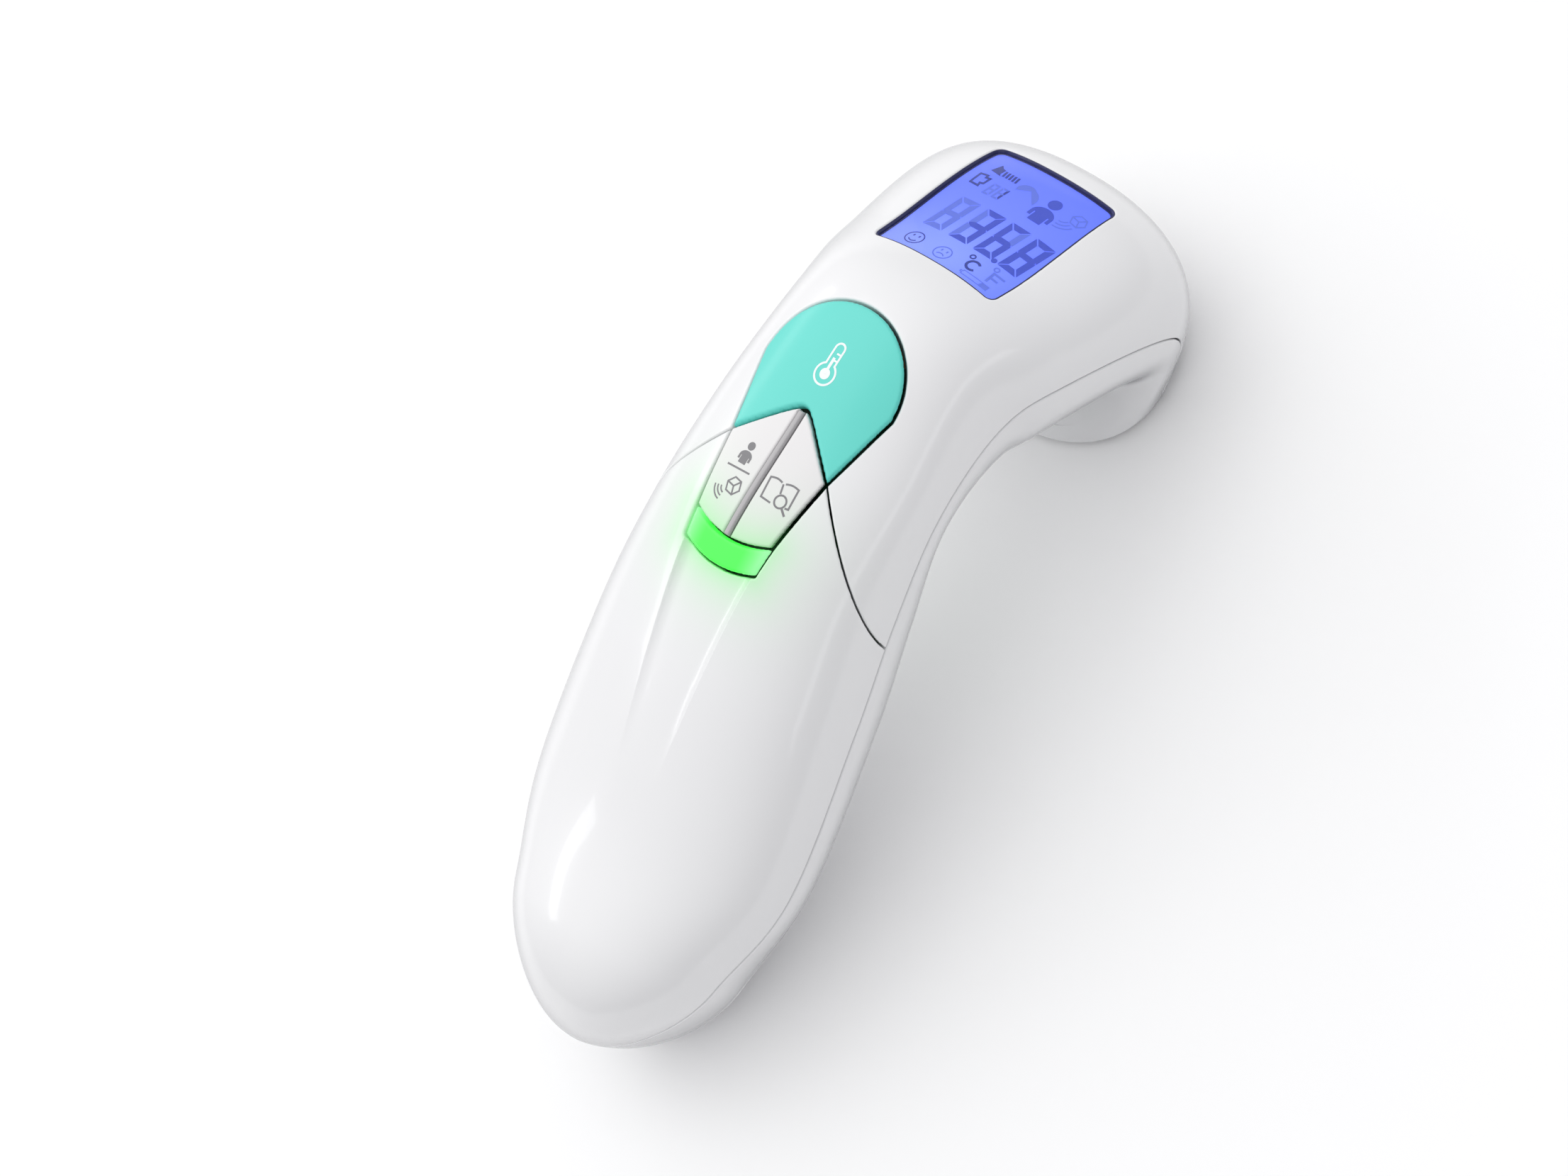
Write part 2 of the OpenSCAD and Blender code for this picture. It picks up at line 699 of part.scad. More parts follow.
module screw(l) {
    difference() {
        cylinder(r = head_r, h = head_h, $fn = 32);
        for (a = [0, 90]) rotate([0, 0, a]) translate([-1.3, -0.25, -eps]) cube([2.6, 0.5, 0.7]);
    }
    cylinder(r = screw_r, h = head_h + l, $fn = 24);
}
module board_screws() color([0.6, 0.6, 0.62]) for (at = standoffs)
    translate([at[0], at[1], board_z - head_h]) {
        difference() {
            cylinder(r = 1.7, h = head_h, $fn = 32);
            translate([-1.2, -0.25, -eps]) cube([2.4, 0.5, 0.7]);
        }
        cylinder(r = 0.75, h = head_h + board_t + 4, $fn = 24);
    }
module housing_screws() color([0.6, 0.6, 0.62]) {
    for (at = neck_screws) translate([at[0], at[1], neck_seat_z - head_h]) screw(parting_z - neck_seat_z + 6);
    in_handle() for (at = tray_screws) translate([at[0], at[1], -plate_t - head_h]) screw(plate_t + 6);
}

ribbon_w = 7;
ribbon_t = 0.3;
module strip(points) rotate([90, 0, 0]) linear_extrude(height = ribbon_w, center = true)
    for (k = [0 : len(points) - 2]) hull() for (p = [points[k], points[k + 1]])
        translate(p) circle(d = ribbon_t, $fn = 12);
function display_at(x, z) = [display[0] + x * cos(window_tilt) + z * sin(window_tilt),
    display[1] - x * sin(window_tilt) + z * cos(window_tilt)];
stack_back = lcd_top - lcd_t - backlight_t - board_t - ribbon_t / 2;
module display_ribbon() color([0.85, 0.6, 0.2])
    strip([[wide_x + wide_l - 5, board_z - ribbon_t / 2], [wide_x + wide_l + 2, board_z - 1.5],
        display_at(-11, stack_back - 2), display_at(-9, stack_back), display_at(-5, stack_back)]);
module sensor_ribbon() color([0.85, 0.6, 0.2])
    strip([display_at(3, stack_back), display_at(6, stack_back), display_at(8, stack_back - 1.5),
        [probe_x + 4, cone_top + can_h + board_t + 1.5],
        [probe_x + 2, cone_top + can_h + board_t + ribbon_t / 2],
        [probe_x - 2, cone_top + can_h + board_t + ribbon_t / 2]]);

front_shell_upper();
front_shell_lower();
rear_shell();
battery_door();
display_window();
scan_button();
mode_button();
memory_button();
button_divider();
light_bar();
probe_ring();
sensor_cone();
sensor_holder();
infrared_sensor();
sensor_board();
lcd_cell();
lcd_frame();
backlight();
display_board();
main_board();
processor_chip();
buzzer();
status_leds();
scan_switch();
mode_switch();
memory_switch();
scan_plunger();
mode_plunger();
memory_plunger();
battery_tray();
cell_left();
cell_right();
cell_springs();
cell_contacts();
board_screws();
housing_screws();
display_ribbon();
sensor_ribbon();
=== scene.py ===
import math

import bpy
import numpy as np
from mathutils import Matrix


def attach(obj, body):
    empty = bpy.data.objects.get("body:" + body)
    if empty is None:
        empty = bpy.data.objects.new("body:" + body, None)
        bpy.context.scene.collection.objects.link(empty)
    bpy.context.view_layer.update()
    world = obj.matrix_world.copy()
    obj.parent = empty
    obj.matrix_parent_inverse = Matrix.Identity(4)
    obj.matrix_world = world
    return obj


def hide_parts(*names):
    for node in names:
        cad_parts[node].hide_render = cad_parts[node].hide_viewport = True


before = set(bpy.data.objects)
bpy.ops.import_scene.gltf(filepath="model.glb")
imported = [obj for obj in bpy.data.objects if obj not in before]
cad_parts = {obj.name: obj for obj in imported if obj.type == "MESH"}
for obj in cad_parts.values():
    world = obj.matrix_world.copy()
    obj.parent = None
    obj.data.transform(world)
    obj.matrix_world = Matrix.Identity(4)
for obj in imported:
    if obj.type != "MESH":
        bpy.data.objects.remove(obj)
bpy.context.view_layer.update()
scene = bpy.context.scene
mm = 0.001
pi = math.pi

# The housing's form

housing = {
    "sections": [  # x, z, tilt, half width, depth in front of the spine, depth behind it
        [-59.3, 20.2, -12, 20, 13, 20.6],
        [-41.3, 24, -18.5, 25.3, 13.8, 17.4],
        [-14.8, 32.2, -16, 25, 15.9, 17.8],
        [2.9, 36.8, -10, 23.4, 16.3, 16.2],
        [19.7, 39.5, 4.5, 22.1, 13.6, 12.6],
        [35.6, 37, 24.5, 21.4, 16.1, 15.8],
        [46.2, 32.5, 49, 24, 13.8, 17.4],
        [62.1, 16.6, 64, 26.8, 16.4, 15],
        [54.2, 1, 90, 20.6, 16.9, 15.3]],
    "buttLength": 18.6,
    "frontPower": 2.3,
    "rearPower": 2.2,
    "wall": 2.0,
    "edgeRound": 0.3,
    "seam": 0.3,       # width of the V joint between the front shells
    "parting": 0.18,   # width of the joint between front and back
    "probeX": 57.1,
    "probeHole": 11.55,
    "rimRound": 0.08,
}
sections = np.array(housing["sections"], float)
lastRow = len(sections) - 1
buttStep = np.hypot(*(sections[0] - sections[1])[:2])
buttEnd = -housing["buttLength"] / buttStep


# A Catmull-Rom curve through the sections, and a straight line on past the butt
def sectionAt(u):
    ends = np.vstack([2 * sections[0] - sections[1], sections, 2 * sections[-1] - sections[-2]])
    k = np.clip(np.floor(u).astype(int), 0, lastRow - 1)
    t = (u - k)[..., None]
    a, b, c, d = (ends[k + j] for j in range(4))
    square, cubic = 2 * a - 5 * b + 4 * c - d, 3 * b - a - 3 * c + d
    curve = 0.5 * (2 * b + (c - a) * t + square * t**2 + cubic * t**3)
    straight = sections[0] - u[..., None] * (sections[0] - sections[1])
    return np.where(u[..., None] < 0, straight, curve)


# A superellipse in the tilted section at u, closed by a quarter ellipse over the butt
def tubePoint(u, t, inset):
    length = housing["buttLength"]
    s = np.moveaxis(sectionAt(np.where(u < 0, u * (length - inset) / length, u)), -1, 0)
    close = np.sqrt(1 - np.clip(u / buttEnd, 0, 1) ** 2)
    side, out = np.cos(t), np.sin(t)
    power = 2 / np.where(out < 0, housing["rearPower"], housing["frontPower"])
    reach = (np.where(out < 0, s[5], s[4]) - inset) * close * np.sign(out) * np.abs(out) ** power
    across = (s[3] - inset) * close * np.sign(side) * np.abs(side) ** power
    tilt = np.radians(s[2])
    rise = s[1] + np.clip(u - lastRow + 1, 0, 1) * inset + reach * np.cos(tilt)
    return np.stack([s[0] + reach * np.sin(tilt), across, np.maximum(rise, np.maximum(inset, 0))], -1)


# The flat nose face: straight lines from the last section to the probe's round hole
def nosePoint(w, t, inset):
    edge = tubePoint(np.full_like(t, lastRow), t, inset)
    hole = np.stack([housing["probeX"] + housing["probeHole"] * np.sin(t), housing["probeHole"] * np.cos(t),
                     edge[..., 2]], -1)
    return edge + np.clip(w, 0, 1)[..., None] * (hole - edge)


# The whole skin: the tube, then a quadratic bend around the nose rim, then the nose face
def skinPoint(u, t, inset=0.0):
    inset = np.broadcast_to(np.asarray(inset, float), np.shape(u))
    bend = housing["rimRound"]
    q = np.clip((u - lastRow + bend) / (2 * bend), 0, 1)[..., None]
    corner = ((1 - q) ** 2 * tubePoint(np.full_like(u, lastRow - bend), t, inset)
              + 2 * q * (1 - q) * tubePoint(np.full_like(u, lastRow), t, inset)
              + q**2 * nosePoint(np.full_like(u, bend), t, inset))
    body = np.where((u > lastRow)[..., None], nosePoint(u - lastRow, t, inset),
                    tubePoint(np.minimum(u, lastRow), t, inset))
    return np.where((np.abs(u - lastRow) < bend)[..., None], corner, body)


# Rows along the butt bunch towards its end as a cosine does
def rowsAlong(start, stop, count):
    rows = np.linspace(max(start, 0), stop, count)
    if start >= 0:
        return rows
    return np.concatenate([buttEnd * np.cos(np.linspace(0, pi / 2, 44)[:-1]), rows])

# Places on the housing

keys = {
    "x": 23.5, "proud": 0.3, "capThickness": 1.4, "gap": 0.34, "slack": 0.14, "edgeRound": 0.6,
    "scanRadius": 13.1, "scanForward": 4.7, "tipHalf": 9.9, "tipBack": 8.2, "notchRound": 1.2,
    "smallLength": 20.8, "smallHalf": 7.85, "smallBow": 1.9, "dividerWidth": 1.0,
    "lightLength": 4.7, "lightHalf": 7.3, "lightBow": 1.6,
}
display = {
    "u": 6.36, "tilt": math.radians(42), "length": 28.4, "width": 24.8, "back": 0.7, "corner": 1.4,
    "bow": 0.4, "recess": 0.55, "glass": 0.4, "panel": 1.05, "sight": (0.9, 1.15),
}
seamLine = {"slope": 1.17, "x": keys["x"] - keys["tipBack"] + 1.17 * keys["tipHalf"]}
hollow = {"length": 36.0, "top": 7.2, "end": 4.0, "depth": 0.9, "flank": 1.4}
door = {"u": 1.5, "tilt": math.radians(16), "drop": 8.5, "front": 28.85, "gap": 0.3, "wall": 1.3,
        "grooves": 5, "pitch": 2.4, "first": 7.0, "grooveWidth": 1.1, "grooveDepth": 0.6}
wells = {"x": keys["x"] - 8.8, "y": 14.2, "radius": 2.5}


def frontPoint(u):
    s = sectionAt(np.array([u]))[0]
    return s[0] + s[4] * math.sin(math.radians(s[2])), s[1] + s[4] * math.cos(math.radians(s[2]))


displayOrigin = frontPoint(display["u"])
gripOrigin = sectionAt(np.array([door["u"]]))[0][:2]


# Turns a point into the plan of the keys: forward of the notch, and across
def inKeys(p):
    return p[..., 0] - keys["x"], p[..., 1]


# Turns a point into the display's own plane: along the head, and across
def inDisplay(p):
    dx, dz = p[..., 0] - displayOrigin[0], p[..., 2] - displayOrigin[1]
    return display["back"] + dx * math.cos(display["tilt"]) - dz * math.sin(display["tilt"]), p[..., 1]


# Turns a point into the handle's frame: along the cells, and above the parting plane
def inHandle(p):
    dx, dz = p[..., 0] - gripOrigin[0], p[..., 2] - gripOrigin[1]
    c, s = math.cos(door["tilt"]), math.sin(door["tilt"])
    return dx * c + dz * s, dz * c - dx * s


# Distance to a closed outline, negative inside: the nearest edge, and a count of the edges crossed
def outlineDistance(x, y, outline):
    a = np.asarray(outline, float)
    b = np.roll(a, -1, axis=0)
    px, py = x[..., None] - a[:, 0], y[..., None] - a[:, 1]
    ex, ey = b[:, 0] - a[:, 0], b[:, 1] - a[:, 1]
    along = np.clip((px * ex + py * ey) / np.maximum(ex**2 + ey**2, 1e-12), 0, 1)
    near = np.sqrt(((px - along * ex) ** 2 + (py - along * ey) ** 2).min(-1))
    spans = (a[:, 1] > y[..., None]) != (b[:, 1] > y[..., None])
    cut = px < ex * py / np.where(ey == 0, 1e-12, ey)
    return np.where((spans & cut).sum(-1) % 2 == 1, -near, near)


# The notch is a hyperbola, the small keys' and the light's lower edges are parabolas
def notchLine(count=25):
    y = np.linspace(-keys["tipHalf"], keys["tipHalf"], count)
    r = keys["notchRound"]
    scale = keys["tipBack"] / (math.hypot(keys["tipHalf"], r) - r)
    return np.stack([-scale * (np.hypot(y, r) - r), y], -1)


def bowLine(x, half, depth, count=17):
    k = np.linspace(-1, 1, count)
    return np.stack([x - depth * (1 - k**2), half * k], -1)


arc = np.linspace(-pi / 2, pi / 2, 49)
smallEdge = bowLine(-keys["smallLength"], keys["smallHalf"], keys["smallBow"])
lightEdge = bowLine(-keys["smallLength"] - keys["lightLength"], keys["lightHalf"], keys["lightBow"])
scanOutline = np.vstack([np.stack([keys["scanForward"] + keys["scanRadius"] * np.cos(arc),
                                   keys["scanRadius"] * np.sin(arc)], -1), notchLine()[::-1]])
smallOutline = np.vstack([notchLine(), smallEdge[::-1]])
lightOutline = np.vstack([smallEdge, lightEdge[::-1]])
hollowStart = -keys["smallLength"] - keys["lightLength"] + 1


# Distance inside the display's opening, whose long sides bow outwards as a parabola does
def displayDistance(p):
    x, y = inDisplay(p)
    r = display["corner"]
    halfX = display["length"] / 2
    halfY = display["width"] / 2 + display["bow"] * (1 - (x / halfX) ** 2)
    qx, qy = np.abs(x) - halfX + r, np.abs(y) - halfY + r
    return np.hypot(np.maximum(qx, 0), np.maximum(qy, 0)) + np.minimum(np.maximum(qx, qy), 0) - r


def keysDistance(p):
    x, y = inKeys(p)
    return np.minimum(np.minimum(outlineDistance(x, y, scanOutline), outlineDistance(x, y, smallOutline)),
                      outlineDistance(x, y, lightOutline))


# Half width of the hollow at a distance down the handle, and how far in from its crease a point is
def hollowInside(p):
    x, y = inKeys(p)
    run = np.clip((hollowStart - x) / hollow["length"], 0, 1)
    half = hollow["top"] + (hollow["end"] - hollow["top"]) * run
    return np.minimum(half - np.abs(y), hollowStart - x + 3), run


# The hollow falls quickly from its crease, then flattens, and runs out to nothing down the handle
def hollowDepth(p):
    inside, run = hollowInside(p)
    fall = np.clip(inside / hollow["flank"], 0, 1)
    return hollow["depth"] * (1 - run) ** 1.15 * (1 - (1 - fall) ** 2) * (run < 1)


def grooveDepth(p):
    x, _ = inHandle(p)
    k = np.clip(np.round((door["front"] - door["first"] - x) / door["pitch"]), 0, door["grooves"] - 1)
    off = np.abs(x - (door["front"] - door["first"] - k * door["pitch"])) / (door["grooveWidth"] / 2)
    ends = np.clip((8 - 0.8 * k - np.abs(p[..., 1])) / 0.6, 0, 1)
    return door["grooveDepth"] * np.clip(1 - off**2, 0, 1) * ends

# Cutting and closing a skin

# Splits every triangle that crosses a level of one column of the table, along that level
def splitAlong(table, tris, column, level, tolerance=0.03):
    d = table[:, column] - level
    d = np.where(np.abs(d) < tolerance, 0, d)
    table[d == 0, column] = level
    side = np.sign(d)[tris]
    crosses = side * np.roll(side, -1, axis=1) < 0
    many = crosses.sum(1)
    kept = [tris[many == 0]]
    pairs, made = [], []
    for count in (1, 2):
        rows = tris[many == count]
        flags = crosses[many == count]
        if not len(rows):
            continue
        if count == 1:
            turn = flags.argmax(1)
        else:  # the corner that both cut edges share comes first
            turn = np.where(flags[:, 0] & flags[:, 2], 0, np.where(flags[:, 0], 1, 2))
        v = np.take_along_axis(rows, (turn[:, None] + np.arange(3)) % 3, 1)
        made.append((count, v))
        pairs.append(v[:, [0, 1]])
        if count == 2:
            pairs.append(v[:, [2, 0]])
    if not made:
        return table, tris
    every = np.sort(np.vstack(pairs), axis=1)
    ends, place = np.unique(every, axis=0, return_inverse=True)
    place = place.ravel() + len(table)
    share = (d[ends[:, 0]] / (d[ends[:, 0]] - d[ends[:, 1]]))[:, None]
    fresh = table[ends[:, 0]] * (1 - share) + table[ends[:, 1]] * share
    fresh[:, column] = level
    at = 0
    for count, v in made:
        p = place[at:at + len(v)]
        at += len(v)
        if count == 1:
            kept += [np.stack([v[:, 0], p, v[:, 2]], 1), np.stack([p, v[:, 1], v[:, 2]], 1)]
        else:
            q = place[at:at + len(v)]
            at += len(v)
            kept += [np.stack([v[:, 0], p, q], 1), np.stack([p, v[:, 1], v[:, 2]], 1),
                     np.stack([p, v[:, 2], q], 1)]
    return np.vstack([table, fresh]), np.vstack(kept)


# Area-weighted normals of the corners, so that thin slivers beside a cut don't disturb the shine
def vertexNormals(points, tris):
    a, b, c = (points[tris[:, k]] for k in range(3))
    face = np.cross(b - a, c - a)
    count, ends = len(points), tris.ravel()
    total = np.stack([np.bincount(ends, np.repeat(face[:, k], 3), count) for k in range(3)], -1)
    return total / np.maximum(np.linalg.norm(total, axis=1), 1e-20)[:, None]


# Puts arrays of points in millimetres and triangles into a mesh; each group is smooth within itself
def makePiece(name, points, groups, material, body, replaced=(), slot=None, layers=None):
    tris = np.vstack(groups)
    corners = np.vstack([vertexNormals(points, g)[g.ravel()] for g in groups])
    used, tris = np.unique(tris, return_inverse=True)
    tris = tris.reshape(-1, 3)
    mesh = bpy.data.meshes.new(name)
    mesh.from_pydata(points[used] * mm, [], tris)
    mesh.polygons.foreach_set("use_smooth", np.ones(len(tris), bool))
    for key, values in (layers or {}).items():
        stored = mesh.attributes.new(key, "FLOAT", "POINT")
        stored.data.foreach_set("value", values[used].astype(np.float32))
    mesh.normals_split_custom_set(corners)
    mesh.materials.append(material)
    obj = bpy.data.objects.new(name, mesh)
    scene.collection.objects.link(obj)
    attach(obj, body)
    if replaced:
        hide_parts(*replaced)
    print(f"{name}: {len(tris)} triangles")
    return obj


# Divides a distance by its slope along the skin, so that a seam is equally wide on steep ground
def evened(distance, points):
    du, dt = np.gradient(distance)
    pu, pt = np.gradient(points, axis=0), np.gradient(points, axis=1)
    e, f, g = (pu * pu).sum(-1), (pu * pt).sum(-1), (pt * pt).sum(-1)
    square = (g * du**2 - 2 * f * du * dt + e * dt**2) / np.maximum(e * g - f * f, 1e-9)
    return distance / np.clip(np.sqrt(np.maximum(square, 0)), 0.35, 1.5)


# A quarter circle rolls the skin over towards each edge
def rollOver(distance, radius):
    d = np.clip(-distance, 0, radius)
    return radius - np.sqrt(np.maximum(radius**2 - (radius - d) ** 2, 0))


# How a skin is cut: loops beside an edge as shares of its radius, the strip searched for them, and the
# closeness at which a point moves onto a loop
cutting = {"shares": (1, 0.62, 0.32, 0.1, 0), "strip": 1.5, "snap": 0.1, "creaseSnap": 0.06}


# A piece of the skin with rounded edges and a wall behind it. Each cut gives a distance, negative inside
def skinPiece(name, rows, columns, cuts, material, body, outer=0.0, inner=None, radius=0.3, sink=None,
              creases=(), layers=None, **kept):
    inner = housing["wall"] if inner is None else inner
    u, t = np.meshgrid(rows, columns, indexing="ij")
    flat = skinPoint(u, t)
    fields = [cut(flat, u, t) for cut in cuts] + [crease(flat, u, t) for crease in creases]
    table = np.stack([u.ravel(), t.ravel()] + [f.ravel() for f in fields], -1)
    grid = np.arange(u.size).reshape(u.shape)
    a, b, c, d = grid[:-1, :-1].ravel(), grid[:-1, 1:].ravel(), grid[1:, :-1].ravel(), grid[1:, 1:].ravel()
    tris = np.vstack([np.stack([a, b, c], 1), np.stack([c, b, d], 1)])
    for k in range(len(cuts)):
        column = 2 + k
        for share in cutting["shares"]:
            close = table[tris, column].max(1) > -radius * share - cutting["strip"]
            near, far = tris[close], tris[~close]
            table, near = splitAlong(table, near, column, -radius * share, cutting["snap"] * radius)
            tris = np.vstack([far, near])
        tris = tris[table[tris, column].max(1) < 1e-6]
    for k in range(len(creases)):
        table, tris = splitAlong(table, tris, 2 + len(cuts) + k, 0, cutting["creaseSnap"])
    u, t = table[:, 0], table[:, 1]
    depth = np.max([rollOver(table[:, 2 + k], radius) for k in range(len(cuts))], axis=0) + outer
    if sink is not None:
        depth = depth + sink(skinPoint(u, t))
    top, under = skinPoint(u, t, depth), skinPoint(u, t, inner)
    count = len(table)
    sides = np.vstack([tris[:, [0, 1]], tris[:, [1, 2]], tris[:, [2, 0]]])
    _, first, copies = np.unique(np.sort(sides, 1), axis=0, return_index=True, return_counts=True)
    rim = sides[first[copies == 1]]
    a, b = rim[:, 0], rim[:, 1]
    wall = np.vstack([np.stack([b, a, a + count], 1), np.stack([b, a + count, b + count], 1)])
    values = {key: np.tile(f(top), 2) for key, f in (layers or {}).items()}
    return makePiece(name, np.vstack([top, under]), [tris, wall, tris[:, ::-1] + count], material, body,
                     layers=values, **kept)


# Newton's method finds the two parameters whose skin point has the wanted flat coordinates
def locate(x, y, place, inset, start):
    u, t = np.full_like(x, start), np.full_like(x, pi / 2)
    step = 1e-4
    for _ in range(14):
        px, py = place(skinPoint(u, t, inset))
        ux, uy = place(skinPoint(u + step, t, inset))
        tx, ty = place(skinPoint(u, t + step, inset))
        a, b, c, d = (ux - px) / step, (tx - px) / step, (uy - py) / step, (ty - py) / step
        det = a * d - b * c
        u = u + np.clip((d * (x - px) - b * (y - py)) / det, -0.4, 0.4)
        t = t + np.clip((a * (y - py) - c * (x - px)) / det, -0.4, 0.4)
    return skinPoint(u, t, inset)

# Finishes

# A group of fine grain: two colours mixed by noise, a roughness that wanders, and a shallow bump
def grainGroup():
    group = bpy.data.node_groups.new("fineGrain", "ShaderNodeTree")
    face = group.interface
    for key, kind, value in (("Colour", "NodeSocketColor", (0.8, 0.8, 0.8, 1)),
                             ("Tint", "NodeSocketColor", (0.7, 0.7, 0.7, 1)),
                             ("Grain Size", "NodeSocketFloat", 900.0),
                             ("Patch Size", "NodeSocketFloat", 60.0),
                             ("Roughness", "NodeSocketFloat", 0.3),
                             ("Roughness Spread", "NodeSocketFloat", 0.05),
                             ("Bump", "NodeSocketFloat", 0.05)):
        face.new_socket(name=key, in_out="INPUT", socket_type=kind).default_value = value
    for key, kind in (("Colour", "NodeSocketColor"), ("Roughness", "NodeSocketFloat"),
                      ("Normal", "NodeSocketVector")):
        face.new_socket(name=key, in_out="OUTPUT", socket_type=kind)
    n, link = group.nodes, group.links.new
    into, out = n.new("NodeGroupInput"), n.new("NodeGroupOutput")
    coords = n.new("ShaderNodeTexCoord")
    fine, broad = n.new("ShaderNodeTexNoise"), n.new("ShaderNodeTexNoise")
    fine.inputs["Detail"].default_value = 4
    broad.inputs["Detail"].default_value = 3
    for noise, key in ((fine, "Grain Size"), (broad, "Patch Size")):
        link(coords.outputs["Object"], noise.inputs["Vector"])
        link(into.outputs[key], noise.inputs["Scale"])
    mix = n.new("ShaderNodeMix")
    mix.data_type = "RGBA"
    link(broad.outputs["Fac"], mix.inputs["Factor"])
    link(into.outputs["Colour"], mix.inputs["A"])
    link(into.outputs["Tint"], mix.inputs["B"])
    link(mix.outputs["Result"], out.inputs["Colour"])
    centre, spread = n.new("ShaderNodeMath"), n.new("ShaderNodeMath")
    centre.operation = "SUBTRACT"
    centre.inputs[1].default_value = 0.5
    link(fine.outputs["Fac"], centre.inputs[0])
    spread.operation = "MULTIPLY_ADD"
    link(centre.outputs["Value"], spread.inputs[0])
    link(into.outputs["Roughness Spread"], spread.inputs[1])
    link(into.outputs["Roughness"], spread.inputs[2])
    link(spread.outputs["Value"], out.inputs["Roughness"])
    bump = n.new("ShaderNodeBump")
    bump.inputs["Distance"].default_value = 0.0002
    link(into.outputs["Bump"], bump.inputs["Strength"])
    link(fine.outputs["Fac"], bump.inputs["Height"])
    link(bump.outputs["Normal"], out.inputs["Normal"])
    return group


fineGrain = grainGroup()


def linear(colour):
    return tuple(((c / 255 + 0.055) / 1.055) ** 2.4 if c > 10 else c / 255 / 12.92 for c in colour) + (1,)


# A Principled surface fed by the grain group; colours are given as 0 to 255 screen values
def finish(name, colour, tint=None, rough=0.3, spread=0.06, bump=0.04, grain=900, patch=60, **sockets):
    material = bpy.data.materials.new(name)
    material.use_nodes = True
    n, link = material.node_tree.nodes, material.node_tree.links.new
    shader = n["Principled BSDF"]
    grained = n.new("ShaderNodeGroup")
    grained.node_tree = fineGrain
    for key, value in (("Colour", linear(colour)), ("Tint", linear(tint or [0.93 * c for c in colour])),
                       ("Grain Size", grain), ("Patch Size", patch), ("Roughness", rough),
                       ("Roughness Spread", spread), ("Bump", bump)):
        grained.inputs[key].default_value = value
    link(grained.outputs["Colour"], shader.inputs["Base Color"])
    link(grained.outputs["Roughness"], shader.inputs["Roughness"])
    link(grained.outputs["Normal"], shader.inputs["Normal"])
    for key, value in sockets.items():
        shader.inputs[key.replace("_", " ")].default_value = value
    return material


# Light that a surface gives off, mixed between two colours by a value stored on the mesh
def addGlow(material, attribute, low, high, strength=1.0):
    n, link = material.node_tree.nodes, material.node_tree.links.new
    stored, mix = n.new("ShaderNodeAttribute"), n.new("ShaderNodeMix")
    stored.attribute_name = attribute
    mix.data_type = "RGBA"
    mix.inputs["A"].default_value = low
    mix.inputs["B"].default_value = high
    link(stored.outputs["Fac"], mix.inputs["Factor"])
    link(mix.outputs["Result"], n["Principled BSDF"].inputs["Emission Color"])
    n["Principled BSDF"].inputs["Emission Strength"].default_value = strength
    return material


# Painted shade: the base colour falls towards a grey where the surface turns away from the eye
def addPaintedEdgeShade(material, shade, start=0.55):
    n, link = material.node_tree.nodes, material.node_tree.links.new
    turned, ramp, mix = n.new("ShaderNodeLayerWeight"), n.new("ShaderNodeMapRange"), n.new("ShaderNodeMix")
    turned.inputs["Blend"].default_value = 0.5
    ramp.inputs["From Min"].default_value = start
    ramp.interpolation_type = "SMOOTHSTEP"
    mix.data_type = "RGBA"
    mix.inputs["B"].default_value = linear(shade)
    base = n["Principled BSDF"].inputs["Base Color"]
    link(base.links[0].from_socket, mix.inputs["A"])
    link(turned.outputs["Facing"], ramp.inputs["Value"])
    link(ramp.outputs["Result"], mix.inputs["Factor"])
    link(mix.outputs["Result"], base)
    return material


# Painted light: a tint laid over the base colour by a value stored on the mesh, standing in for light that
# falls on a pale surface
def addPaintedLightTint(material, attribute, colour):
    n, link = material.node_tree.nodes, material.node_tree.links.new
    stored, mix = n.new("ShaderNodeAttribute"), n.new("ShaderNodeMix")
    stored.attribute_name = attribute
    mix.data_type = "RGBA"
    mix.inputs["B"].default_value = linear(colour)
    base = n["Principled BSDF"].inputs["Base Color"]
    link(base.links[0].from_socket, mix.inputs["A"])
    link(stored.outputs["Fac"], mix.inputs["Factor"])
    link(mix.outputs["Result"], base)
    return material


whiteShell = finish("glossyWhiteShell", (236, 236, 237), (232, 232, 234), rough=0.22, spread=0.04,
                    bump=0.012, grain=700, patch=18, Coat_Weight=0.5, Coat_Roughness=0.05, IOR=1.5)
# Painted light and shade on the white shell: a green tint near the light strip, and a grey towards the
# silhouette
addPaintedEdgeShade(addPaintedLightTint(whiteShell, "painted_green_spill", (128, 246, 134)), (150, 150, 154))
tealKey = finish("tealKey", (96, 216, 204), (91, 211, 199), rough=0.3, bump=0.03, grain=1400, patch=40,
                 Coat_Weight=0.2, Coat_Roughness=0.12)
greyKey = finish("paleKey", (232, 230, 231), (227, 225, 226), rough=0.34, bump=0.03, grain=1400, patch=40)
# Painted light on the pale keys: a green tint near the light strip
addPaintedLightTint(greyKey, "painted_green_spill", (128, 246, 134))
dividerGrey = finish("dividerGrey", (186, 184, 186), rough=0.4, bump=0.05, grain=1600)
lightGreen = addGlow(finish("lightGreen", (20, 110, 26), (24, 118, 30), rough=0.25, bump=0.02, grain=900,
                            Coat_Weight=0.4, Coat_Roughness=0.05),
                     "bright", linear((168, 248, 182)), linear((68, 252, 76)), 0.92)
glassClear = finish("displayGlass", (250, 250, 255), (246, 246, 252), rough=0.04, spread=0.01,
                    bump=0.003, grain=300, Transmission_Weight=1.0, IOR=1.2)
